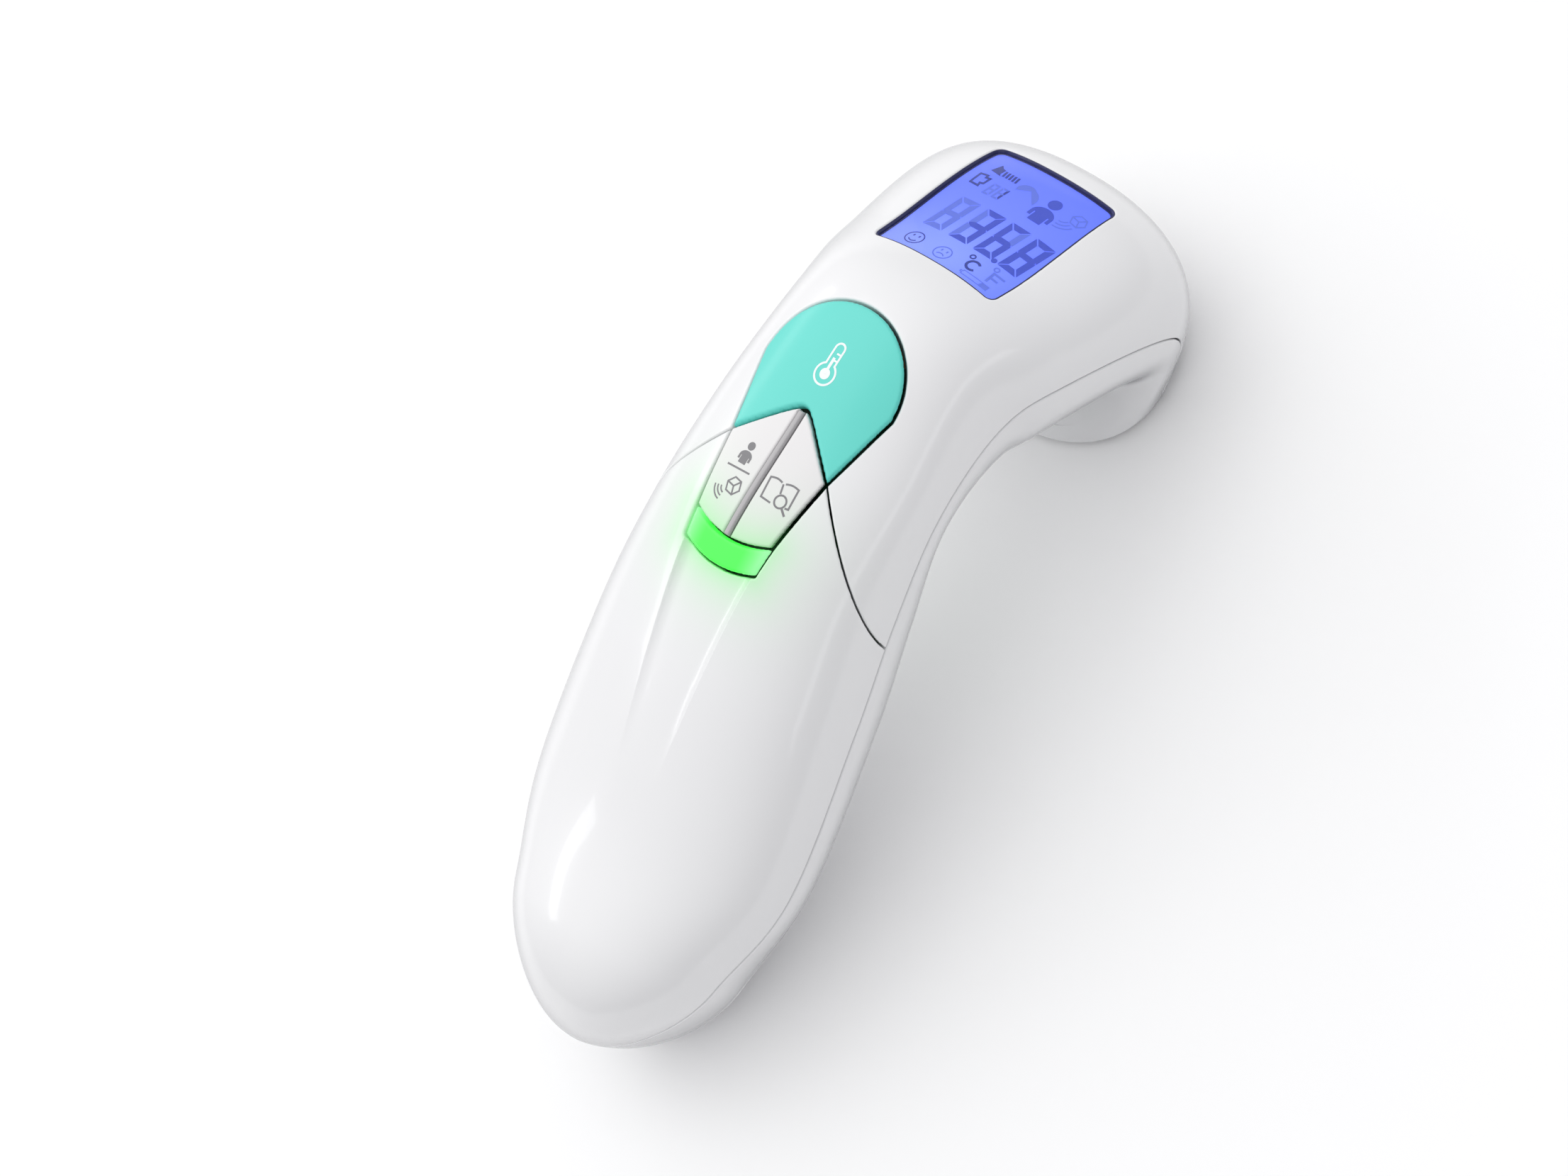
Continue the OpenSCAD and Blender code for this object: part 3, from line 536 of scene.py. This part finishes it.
# Painted shade: a navy sheet lines the opening's wall, coloured as the wall looks in shade with the panel's
# blue light on it
rimPaintedShade = finish("navyRimPaintedShade", (44, 46, 92), (36, 38, 78), rough=0.35, bump=0.03, grain=1500)
panelBlue = finish("litPanel", (60, 70, 190), (70, 80, 200), rough=0.5, spread=0.03, bump=0.01, grain=2500)
# The panel gives off its backlight, with a painted reflection that brightens it towards the display's end
# nearer the handle
addGlow(panelBlue, "light", linear((80, 106, 242)), linear((142, 166, 252)), 0.92)
markWhite = finish("whiteMark", (246, 250, 250), rough=0.4, bump=0.02, grain=2000)
markGrey = finish("greyMark", (128, 127, 130), (122, 121, 124), rough=0.4, bump=0.02, grain=2000)


# Ink of the display: a dark finish that carries its own steady light
def lcdInk(name, colour, strength=0.9):
    return finish(name, [0.4 * c for c in colour], rough=0.5, bump=0.01, grain=2500,
                  Emission_Color=linear(colour), Emission_Strength=strength)


markBlue = lcdInk("litMark", (58, 80, 200))
markFaint = lcdInk("faintMark", (94, 118, 226))
markNavy = lcdInk("inkedMark", (44, 60, 150))
print("finishes made")

# The shells and keys

# Distance from the parting line, measured straight to the edge curve at each side
def partingCut(p, u, t):
    edges = [skinPoint(u, np.full_like(t, round(end / pi) * pi)) for end in (t.min(), t.max())]
    reach = np.minimum(*(np.linalg.norm(p - edge, axis=-1) for edge in edges))
    return housing["parting"] / 2 - reach


def seamDistance(p):
    return evened(p[..., 0] - seamLine["x"] + seamLine["slope"] * np.abs(p[..., 1]), p)


def doorDistance(p):
    x, z = inHandle(p)
    return np.maximum(evened(z + door["drop"], p), evened(x - door["front"], p))


# Painted light: how much of the light strip's green is painted onto the pale shell and keys, falling off with
# distance from the strip, above 20 mm only
def paintedGreenSpill(p):
    x, y = inKeys(p)
    reach = np.maximum(outlineDistance(x, y, lightOutline), 0)
    return np.clip(0.55 * np.exp(-(reach / 3.8) ** 1.1), 0, 1) * (p[..., 2] > 20)


shellRound = housing["edgeRound"]
halfFront, halfRear = np.linspace(0, pi, 150), np.linspace(pi, 2 * pi, 150)
paintedSpillLayer = {"painted_green_spill": paintedGreenSpill}


def keysCut(p, u, t):
    return keys["gap"] - keysDistance(p)


skinPiece("head_cover", rowsAlong(2.2, 9, 290), halfFront,
          [keysCut, lambda p, u, t: housing["seam"] / 2 - seamDistance(p),
           lambda p, u, t: -displayDistance(p), partingCut],
          whiteShell, "housing", radius=shellRound, layers=paintedSpillLayer, replaced=["front_shell_upper"],
          slot="housing")
skinPiece("handle_cover", rowsAlong(buttEnd, 5.0, 230), halfFront,
          [keysCut, lambda p, u, t: housing["seam"] / 2 + seamDistance(p), partingCut],
          whiteShell, "housing", radius=shellRound, sink=hollowDepth,
          creases=[lambda p, u, t, k=k: hollowInside(p)[0] - k for k in (-0.12, 0, 0.3)],
          layers=paintedSpillLayer, replaced=["front_shell_lower"], slot="housing")


def wellCut(p, u, t):
    return wells["radius"] - np.hypot(p[..., 0] - wells["x"], np.abs(p[..., 1]) - wells["y"])


skinPiece("back_cover", rowsAlong(buttEnd, 9, 232), halfRear,
          [lambda p, u, t: door["gap"] - doorDistance(p), partingCut, wellCut],
          whiteShell, "housing", radius=shellRound, layers=paintedSpillLayer, replaced=["rear_shell"],
          slot="housing")
skinPiece("battery_cover", rowsAlong(buttEnd, 4.2, 420), halfRear,
          [lambda p, u, t: doorDistance(p)], whiteShell, "door", radius=shellRound, inner=door["wall"],
          sink=grooveDepth,
          layers=paintedSpillLayer, replaced=["battery_door"], slot="housing")
print("shells made")

keyRows, keyColumns = np.linspace(2.6, 5.6, 220), np.linspace(0.6, pi - 0.6, 190)


def keyPiece(name, cuts, material, body, node, slot, outer=-keys["proud"], radius=keys["edgeRound"],
             inner=keys["capThickness"] - keys["proud"], **more):
    flat = [lambda p, u, t, c=c: c(*inKeys(p)) for c in cuts]
    return skinPiece(name, keyRows, keyColumns, flat, material, body, outer=outer, inner=inner, radius=radius,
                     replaced=[node], slot=slot, **more)


halfDivider = keys["dividerWidth"] / 2
keyPiece("scan_cap", [lambda x, y: outlineDistance(x, y, scanOutline) + keys["slack"]], tealKey,
         "scan_key", "scan_button", "scan_key")
for side, label in ((1, "mode"), (-1, "memory")):
    keyPiece(f"{label}_cap", [lambda x, y: outlineDistance(x, y, smallOutline) + keys["gap"],
                              lambda x, y, s=side: halfDivider + keys["gap"] * 0.6 - s * y],
             greyKey, f"{label}_key", f"{label}_button", "small_keys", radius=0.4, layers=paintedSpillLayer)
dividerEnds = (-keys["smallLength"] - keys["smallBow"] + 0.35, -0.75)
keyPiece("key_divider", [lambda x, y: np.abs(y) - halfDivider,
                         lambda x, y: np.maximum(x - dividerEnds[1], dividerEnds[0] - x)],
         dividerGrey, "housing", "button_divider", "divider", outer=-0.6, radius=0.48)
lightSides = {"bright": lambda p: np.clip(1.15 - (np.abs(p[..., 1]) / keys["lightHalf"]) ** 3, 0, 1)}
keyPiece("light_strip", [lambda x, y: outlineDistance(x, y, lightOutline) + 0.1], lightGreen, "housing",
         "light_bar", "light", outer=-0.05, radius=0.5, layers=lightSides)
print("keys made")

# The display

displayRows, displayColumns = np.linspace(5.2, 7.5, 150), np.linspace(0.75, pi - 0.75, 150)


# A sheet of the skin inside the opening, smaller by a margin and open in its middle if it has a band
def displayPiece(name, margin, material, band=None, **more):
    cuts = [lambda p, u, t: displayDistance(p) + margin]
    if band is not None:
        cuts.append(lambda p, u, t: -band - displayDistance(p))
    return skinPiece(name, displayRows, displayColumns, cuts, material, "housing", **more)


# The rim's navy is painted shade and the panel's painted blue light on the opening's wall
displayPiece("display_rim", 0.02, rimPaintedShade, band=0.2, outer=0.16, inner=1.15, radius=0.06,
             slot="black_plastic")
displayPiece("display_glass", 0.12, glassClear, outer=display["recess"],
             inner=display["recess"] + display["glass"], radius=0.12, replaced=["display_window"],
             slot="window")


# The panel's backlight, with a painted reflection: brighter towards the display's end nearer the handle
def backlightAndPaintedReflection(p):
    x, y = inDisplay(p)
    corner = np.exp(-(((x + 12) / 9) ** 2 + ((y - 2) / 12) ** 2))
    return np.clip(0.15 + 0.75 * corner + 0.12 * np.cos(x / 9), 0, 1)


displayPiece("display_panel", 0.3, panelBlue, outer=display["panel"], inner=2.0, radius=0.1,
             layers={"light": backlightAndPaintedReflection}, replaced=["lcd_cell"], slot="lcd")
print("display made")

# Marks on the display and the keys

# A flat stroke: a path carried sideways by half its width, mitred where it turns, closed if its ends meet
def stroke(path, width):
    path = np.asarray(path, float)
    closed = np.allclose(path[0], path[-1])
    step = np.diff(path, axis=0)
    step /= np.linalg.norm(step, axis=1)[:, None]
    before = np.vstack([step[-1:] if closed else step[:1], step])
    after = np.vstack([step, step[:1] if closed else step[-1:]])
    turn = before + after
    turn /= np.linalg.norm(turn, axis=1)[:, None]
    lean = np.stack([-turn[:, 1], turn[:, 0]], 1) / np.clip((turn * after).sum(1), 0.5, 1)[:, None]
    points = np.vstack([path + lean * width / 2, path - lean * width / 2])
    k, n = np.arange(len(path) - 1), len(path)
    return points, np.vstack([np.stack([k, k + n, k + 1], 1), np.stack([k + 1, k + n, k + n + 1], 1)])


# A filled outline: triangles from its middle
def fan(outline):
    outline = np.asarray(outline, float)
    n = len(outline)
    k = np.arange(n)
    return np.vstack([outline, outline.mean(0)]), np.stack([k, (k + 1) % n, np.full(n, n)], 1)


def ringPath(x, y, radius, start=0.0, stop=2 * pi, count=33):
    t = np.linspace(start, stop, count)
    return np.stack([x + radius * np.cos(t), y + radius * np.sin(t)], 1)


def disc(x, y, radius):
    return fan(ringPath(x, y, radius)[:-1])


# Splits long triangles so that a flat mark follows the curved skin
def refined(points, tris, times):
    for _ in range(times):
        n = len(points)
        sides = np.sort(np.vstack([tris[:, [0, 1]], tris[:, [1, 2]], tris[:, [2, 0]]]), 1)
        ends, place = np.unique(sides, axis=0, return_inverse=True)
        ab, bc, ca = np.split(place.ravel() + n, 3)
        points = np.vstack([points, points[ends].mean(1)])
        a, b, c = tris.T
        tris = np.vstack([np.stack(r, 1) for r in ((a, ab, ca), (ab, b, bc), (ca, bc, c), (ab, bc, ca))])
    return points, tris


# Thin slabs that lie on the skin: flat shapes sent through Newton's method, with a wall down to just below it
def markPiece(name, shapes, place, start, inset, material, body, slot, lift=0.03):
    points, tris, count = [], [], 0
    for flat, faces in shapes:
        flat, faces = refined(flat, faces, 1)
        points.append(flat)
        tris.append(faces + count)
        count += len(flat)
    points, tris = np.vstack(points), np.vstack(tris)
    a, b, c = (points[tris[:, k]] for k in range(3))
    turned = (b[:, 0] - a[:, 0]) * (c[:, 1] - a[:, 1]) - (b[:, 1] - a[:, 1]) * (c[:, 0] - a[:, 0]) < 0
    tris[turned] = tris[turned][:, ::-1]
    top = locate(points[:, 0], points[:, 1], place, inset - lift, start)
    under = locate(points[:, 0], points[:, 1], place, inset + lift, start)
    sides = np.vstack([tris[:, [0, 1]], tris[:, [1, 2]], tris[:, [2, 0]]])
    _, first, copies = np.unique(np.sort(sides, 1), axis=0, return_index=True, return_counts=True)
    a, b = sides[first[copies == 1]].T
    wall = np.vstack([np.stack([b, a, a + count], 1), np.stack([b, a + count, b + count], 1)])
    groups = [tris, wall, tris[:, ::-1] + count]
    return makePiece(name, np.vstack([top, under]), groups, material, body, slot=slot)


# Seven bars inside a leaning box, mitred where they meet; x runs up the digit and y to the left
def digit(corner, size, names):
    high, wide = size["height"], size["width"]
    tx, ty, gx, gy = size["thick"] / high, size["thick"] / wide, size["gap"] / high, size["gap"] / wide
    top = [(1, gy), (1, 1 - gy), (1 - tx, 1 - gy - ty), (1 - tx, gy + ty)]
    right = [(1 - gx, 1), (0.5 + gx / 2, 1), (0.5 + (gx + tx) / 2, 1 - ty), (1 - gx - tx, 1 - ty)]
    middle = [(0.5, gy), (0.5 + tx / 2, gy + ty / 2), (0.5 + tx / 2, 1 - gy - ty / 2), (0.5, 1 - gy),
              (0.5 - tx / 2, 1 - gy - ty / 2), (0.5 - tx / 2, gy + ty / 2)]
    bars = {"a": top, "b": right, "c": [(1 - x, y) for x, y in right], "d": [(1 - x, y) for x, y in top],
            "e": [(1 - x, 1 - y) for x, y in right], "f": [(x, 1 - y) for x, y in right], "g": middle}
    return [fan([(corner[0] + x * high, corner[1] - y * wide + x * size["lean"]) for x, y in bars[k]])
            for k in names]


lcdMarks = {
    "large": {"height": 8.2, "width": 3.75, "lean": -0.75, "thick": 1.12, "gap": 0.14},
    "small": {"height": 2.9, "width": 1.45, "lean": -0.2, "thick": 0.42, "gap": 0.08},
    "digits": [(7.25, "", "abcdefg"), (2.05, "abcdg", "ef"), (-2.95, "acdefg", "b"), (-7.9, "abcdefg", "")],
    "base": -8.0, "point": (-7.8, -7.2), "smallAt": (2.45, (5.0, 3.2)),
}
lit, faint, inked = [], [], []
for left, shown, ghost in lcdMarks["digits"]:
    lit += digit((lcdMarks["base"], left), lcdMarks["large"], shown)
    faint += digit((lcdMarks["base"], left), lcdMarks["large"], ghost)
lit.append(disc(*lcdMarks["point"], 0.5))


def figure(x, y, size):  # a head above round shoulders, with the arms beside the body
    turn = np.linspace(0, pi, 17)
    shoulders = np.stack([np.sin(turn), 1.3 * np.cos(turn)], 1)
    chest = [(-1.25, 0.76), (0.1, 0.76), (0.1, -0.76), (-1.25, -0.76)]
    parts = [ringPath(1.9, 0, 0.72)[:-1], shoulders, chest]
    parts += [[(-0.7, s * 0.9), (0.1, s * 0.9), (0.1, s * 1.3), (-0.7, s * 1.3)] for s in (1, -1)]
    return [fan(np.array(part) * size + (x, y)) for part in parts]


def cube(x, y, size, width, turn=0.0):  # a hexagon with three spokes to every other corner
    t = turn + np.linspace(0, 2 * pi, 7)
    rim = np.stack([x + size * np.cos(t), y + size * np.sin(t)], 1)
    return [stroke(rim, width)] + [stroke([(x, y), rim[k]], width) for k in (1, 3, 5)]


def waves(x, y, size, width, turn):
    return [stroke(ringPath(x, y, size * r, turn - 0.6, turn + 0.6, 13), width) for r in (0.55, 0.85, 1.15)]


def face(x, y, size, width, smile):
    mouth = ringPath(x - (0.05 if smile > 0 else 0.75) * size, y, 0.55 * size,
                     pi - 1.0 if smile > 0 else -1.0, pi + 1.0 if smile > 0 else 1.0, 15)
    eyes = [stroke(np.array([(0.2, s * 0.35), (0.5, s * 0.35)]) * size + (x, y), width * 1.2)
            for s in (1, -1)]
    return [stroke(ringPath(x, y, size), width), stroke(mouth, width)] + eyes


def degree(x, y):
    return [stroke(ringPath(x, y, 0.42, count=21), 0.26)]


inked += face(-11.65, 5.4, 1.5, 0.2, 1) + degree(-9.4, -4.4)
inked.append(stroke(ringPath(-10.95, -5.8, 1.05, 0.75 - pi / 2, 1.5 * pi - 0.75, 21), 0.46))
faint += face(-11.85, -0.45, 1.45, 0.2, -1) + degree(-8.95, -8.85)
faint += [stroke([(-9.6, -9.1), (-12.0, -9.3)], 0.46), stroke([(-9.8, -9.2), (-9.8, -11.2)], 0.42),
          stroke([(-10.9, -9.3), (-10.9, -10.7)], 0.42)]
faint.append(stroke([(-12.6, -5.6), (-12.6, -10.6), (-13.5, -10.6), (-13.5, -5.6), (-13.2, -5.6),
                     (-13.2, -5.2), (-12.9, -5.2), (-12.9, -5.6), (-12.6, -5.6)], 0.16))
faint.append(fan([(-12.65, -9.3), (-12.65, -10.6), (-13.5, -10.6), (-13.5, -9.0)]))
lit += figure(4.35, -5.65, 1.6)
faint += waves(6.6, -8.3, 2.4, 0.26, pi + 0.55) + cube(7.3, -10.5, 1.35, 0.28, 0.4)
moonOut = ringPath(5.6, -0.9, 2.3, -1.9, 1.9 - pi / 6, 19)
faint.append(fan(np.vstack([moonOut, ringPath(6.5, -0.2, 1.85, 1.3, -1.75, 19)])))
smallBase, (smallFirst, smallNext) = lcdMarks["smallAt"]
faint += digit((smallBase, smallFirst), lcdMarks["small"], "abcdefg")
faint += digit((smallBase, smallNext), lcdMarks["small"], "adefg")
inked += digit((smallBase, smallNext), lcdMarks["small"], "bc")
inked.append(stroke([(3.7, 8.3), (6.2, 8.4), (6.3, 7.0), (5.7, 6.9), (5.8, 6.1), (4.3, 6.2), (4.2, 6.8),
                     (3.5, 6.6), (3.7, 8.3)], 0.42))
inked.append(fan([(7.7, 7.7), (9.8, 7.05), (9.1, 6.4), (8.9, 5.7), (7.6, 5.8), (7.2, 5.4)]))
inked += [stroke([(7.35 - 0.04 * k, 5.05 - 0.66 * k), (8.75 - 0.04 * k, 5.3 - 0.66 * k)], 0.4)
          for k in range(5)]


# The marks lie deep enough that a reader above the keys sees them set a little forward and to the left
def onPanel(p):
    x, y = inDisplay(p)
    return x - display["panel"] * display["sight"][0], y * 0.98 - display["panel"] * display["sight"][1]


for name, shapes, material in (("lcd_lit", lit, markBlue), ("lcd_faint", faint, markFaint),
                               ("lcd_inked", inked, markNavy)):
    markPiece(name, shapes, onPanel, display["u"], display["panel"] - 0.02, material, "housing", "lcd")

probeMark = {"x": 5.8, "tip": 11.0, "bulb": 1.8, "stem": 0.86, "line": 0.34}
lean = math.asin(probeMark["stem"] / probeMark["bulb"])
bulb = ringPath(probeMark["x"], 0, probeMark["bulb"], lean, 2 * pi - lean, 33)
stem = ringPath(probeMark["tip"] - probeMark["stem"], 0, probeMark["stem"], -pi / 2, pi / 2, 15)
markPiece("scan_mark", [stroke(np.vstack([bulb, stem, bulb[:1]]), probeMark["line"]),
                        disc(probeMark["x"], 0, 0.9),
                        stroke([(probeMark["x"], 0), (8.6, 0)], 0.5),
                        stroke([(8.2, 0.0), (8.2, -0.75)], 0.3), stroke([(9.3, 0.0), (9.3, -0.75)], 0.3)],
          inKeys, 4.6, -keys["proud"], markWhite, "scan_key", "scan_key")
markPiece("mode_mark", figure(-10.95, 4.3, 0.95) + [stroke([(-13.1, 6.5), (-12.9, 1.9)], 0.3)]
          + cube(-15.6, 3.25, 1.4, 0.26, 0.35) + waves(-16.2, 4.2, 2.0, 0.24, 2.35),
          inKeys, 4.0, -keys["proud"], markGrey, "mode_key", "small_keys")


def page(a, b, height):  # the top of a page, humped as a half sine
    k = np.linspace(0, 1, 9)
    return np.stack([a[0] + (b[0] - a[0]) * k + height * np.sin(pi * k), a[1] + (b[1] - a[1]) * k], 1)


glass = (-14.0, -5.3)
book = np.vstack([[(-14.9, -3.9), (-14.8, -1.95)], page((-11.5, -1.65), (-11.5, -4.2), 0.28),
                  page((-11.5, -4.2), (-11.1, -6.9), 0.28), [(-14.4, -7.1), (-14.5, -6.5)]])
markPiece("memory_mark", [stroke(book, 0.3), stroke([(-11.5, -4.2), (-13.0, -4.6)], 0.3),
                          stroke(ringPath(*glass, 1.0), 0.3),
                          stroke([(-14.75, -6.05), (-15.6, -7.1)], 0.36)],
          inKeys, 4.0, -keys["proud"], markGrey, "memory_key", "small_keys")
print("marks made")

# Finishes of the carried-over parts

finishes = {
    "ring": finish("satinRing", (206, 208, 212), rough=0.22, spread=0.08, bump=0.03, grain=500,
                   Metallic=0.9),
    "reflector": finish("polishedCone", (226, 228, 232), rough=0.12, spread=0.05, bump=0.01, grain=300,
                        Metallic=1.0),
    "sensor": finish("sensorCan", (196, 190, 176), rough=0.3, spread=0.1, bump=0.05, grain=700, Metallic=1.0),
    "black": finish("blackPlastic", (34, 34, 37), rough=0.5, spread=0.1, bump=0.15, grain=1800),
    "tray": finish("trayPlastic", (222, 222, 224), rough=0.45, spread=0.08, bump=0.1, grain=1500),
    "board": finish("greenBoard", (24, 96, 58), (16, 78, 44), rough=0.4, spread=0.12, bump=0.12, grain=1200,
                    patch=250),
    "ribbon": finish("amberRibbon", (214, 148, 52), (196, 126, 40), rough=0.35, spread=0.08, bump=0.08,
                     grain=900),
    "cell": finish("cellJacket", (48, 118, 78), (38, 102, 66), rough=0.28, spread=0.06, bump=0.02, grain=600),
    "contact": finish("nickelContact", (214, 210, 198), rough=0.25, spread=0.12, bump=0.05, grain=900,
                      Metallic=1.0),
    "screw": finish("platedScrew", (182, 184, 188), rough=0.32, spread=0.12, bump=0.08, grain=1500,
                    Metallic=1.0),
    "backlight": finish("backlightGuide", (232, 236, 250), rough=0.3, spread=0.05, bump=0.03, grain=700),
    "led": finish("ledLens", (200, 250, 200), rough=0.2, spread=0.04, bump=0.02, grain=700),
}
wearers = {
    "ring": ["probe_ring"], "reflector": ["sensor_cone"], "sensor": ["infrared_sensor"],
    "black": ["sensor_holder", "lcd_frame", "processor_chip", "buzzer", "scan_switch", "mode_switch",
              "memory_switch", "scan_plunger", "mode_plunger", "memory_plunger"],
    "tray": ["battery_tray"], "board": ["sensor_board", "display_board", "main_board"],
    "ribbon": ["display_ribbon", "sensor_ribbon"], "cell": ["cell_left", "cell_right"],
    "contact": ["cell_springs", "cell_contacts"], "screw": ["board_screws", "housing_screws"],
    "backlight": ["backlight"], "led": ["status_leds"],
}
for key, names in wearers.items():
    for name in names:
        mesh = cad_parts[name].data
        mesh.materials.clear()
        mesh.materials.append(finishes[key])
print("carried-over parts finished")

# Floor, lights and camera

studio = {"world": 1.3, "sky": (0.1, 0.35, 0.85), "ramp": (0.0, 0.85), "low": (0.2, 0.2, 0.21, 1),
          "high": (1.0, 1.0, 1.0, 1)}
bpy.ops.mesh.primitive_plane_add(size=6, location=(0, 0, 0))
floor = bpy.context.object
floor.name = "studio_floor"
paleFloor = finish("paleFloor", (250, 250, 250), (247, 247, 248), rough=0.8, bump=0.01, grain=40, patch=2)
floor.data.materials.append(paleFloor)

world = bpy.data.worlds.new("studioWorld")
scene.world = world
world.use_nodes = True
# The sky brightens towards the key side, so that the body has a light and a shaded flank
nodes, link = world.node_tree.nodes, world.node_tree.links.new
skyKinds = ("ShaderNodeTexCoord", "ShaderNodeVectorMath", "ShaderNodeValToRGB")
skyCoords, skyDot, skyRamp = (nodes.new(kind) for kind in skyKinds)
skyDot.operation = "DOT_PRODUCT"
skyDot.inputs[1].default_value = studio["sky"]
skyRamp.color_ramp.elements[0].position, skyRamp.color_ramp.elements[1].position = studio["ramp"]
skyRamp.color_ramp.elements[0].color, skyRamp.color_ramp.elements[1].color = studio["low"], studio["high"]
link(skyCoords.outputs["Generated"], skyDot.inputs[0])
link(skyDot.outputs["Value"], skyRamp.inputs["Fac"])
link(skyRamp.outputs["Color"], nodes["Background"].inputs["Color"])
nodes["Background"].inputs["Strength"].default_value = studio["world"]


def softLight(name, location, target, size, power):
    lamp = bpy.data.lights.new(name, "AREA")
    lamp.shape, lamp.size, lamp.size_y, lamp.energy = "RECTANGLE", size[0], size[1], power
    obj = bpy.data.objects.new(name, lamp)
    scene.collection.objects.link(obj)
    away = np.array(location) - np.array(target)
    away /= np.linalg.norm(away)
    right = np.cross([0.1, 0.2, 1.0], away)
    right /= np.linalg.norm(right)
    turn = Matrix(np.stack([right, np.cross(away, right), away], 1)).to_4x4()
    obj.matrix_world = Matrix.Translation(location) @ turn
    return obj


lamps = {
    "keyLight": ((0.2, 0.6, 1.0), (0.9, 0.7), 1.0),
    "stripLight": ((-0.05, 0.42, 0.3), (0.6, 0.06), 0.3),
    "rimLight": ((0.05, -0.4, 0.25), (0.6, 0.05), 0.12),
}
for name, (location, size, power) in lamps.items():
    softLight(name, location, (0, 0, 0.03), size, power)

camera = {"aim": (-1.6, 15.7, 7.9), "distance": 1000.0, "elevation": 57.0, "bearing": -88.98, "roll": -59.2,
          "lens": 146.5}


# The camera looks along a bearing and an elevation, then rolls about its own axis
def placeCamera():
    lens = bpy.data.cameras.new("camera")
    obj = bpy.data.objects.new("camera", lens)
    scene.collection.objects.link(obj)
    el, az, roll = (math.radians(camera[k]) for k in ("elevation", "bearing", "roll"))
    back = np.array([math.cos(el) * math.cos(az), math.cos(el) * math.sin(az), math.sin(el)])
    level = np.cross([0, 0, 1], back)
    level /= np.linalg.norm(level)
    rise = np.cross(back, level)
    right = math.cos(roll) * level + math.sin(roll) * rise
    up = -math.sin(roll) * level + math.cos(roll) * rise
    place = (np.array(camera["aim"]) + camera["distance"] * back) * mm
    obj.matrix_world = Matrix.Translation(place) @ Matrix(np.stack([right, up, back], 1)).to_4x4()
    lens.lens, lens.sensor_width = camera["lens"], 36
    lens.clip_start, lens.clip_end = 0.05, 20
    lens.dof.use_dof = False
    scene.camera = obj


placeCamera()
scene.view_settings.view_transform = "Standard"
print("studio made")
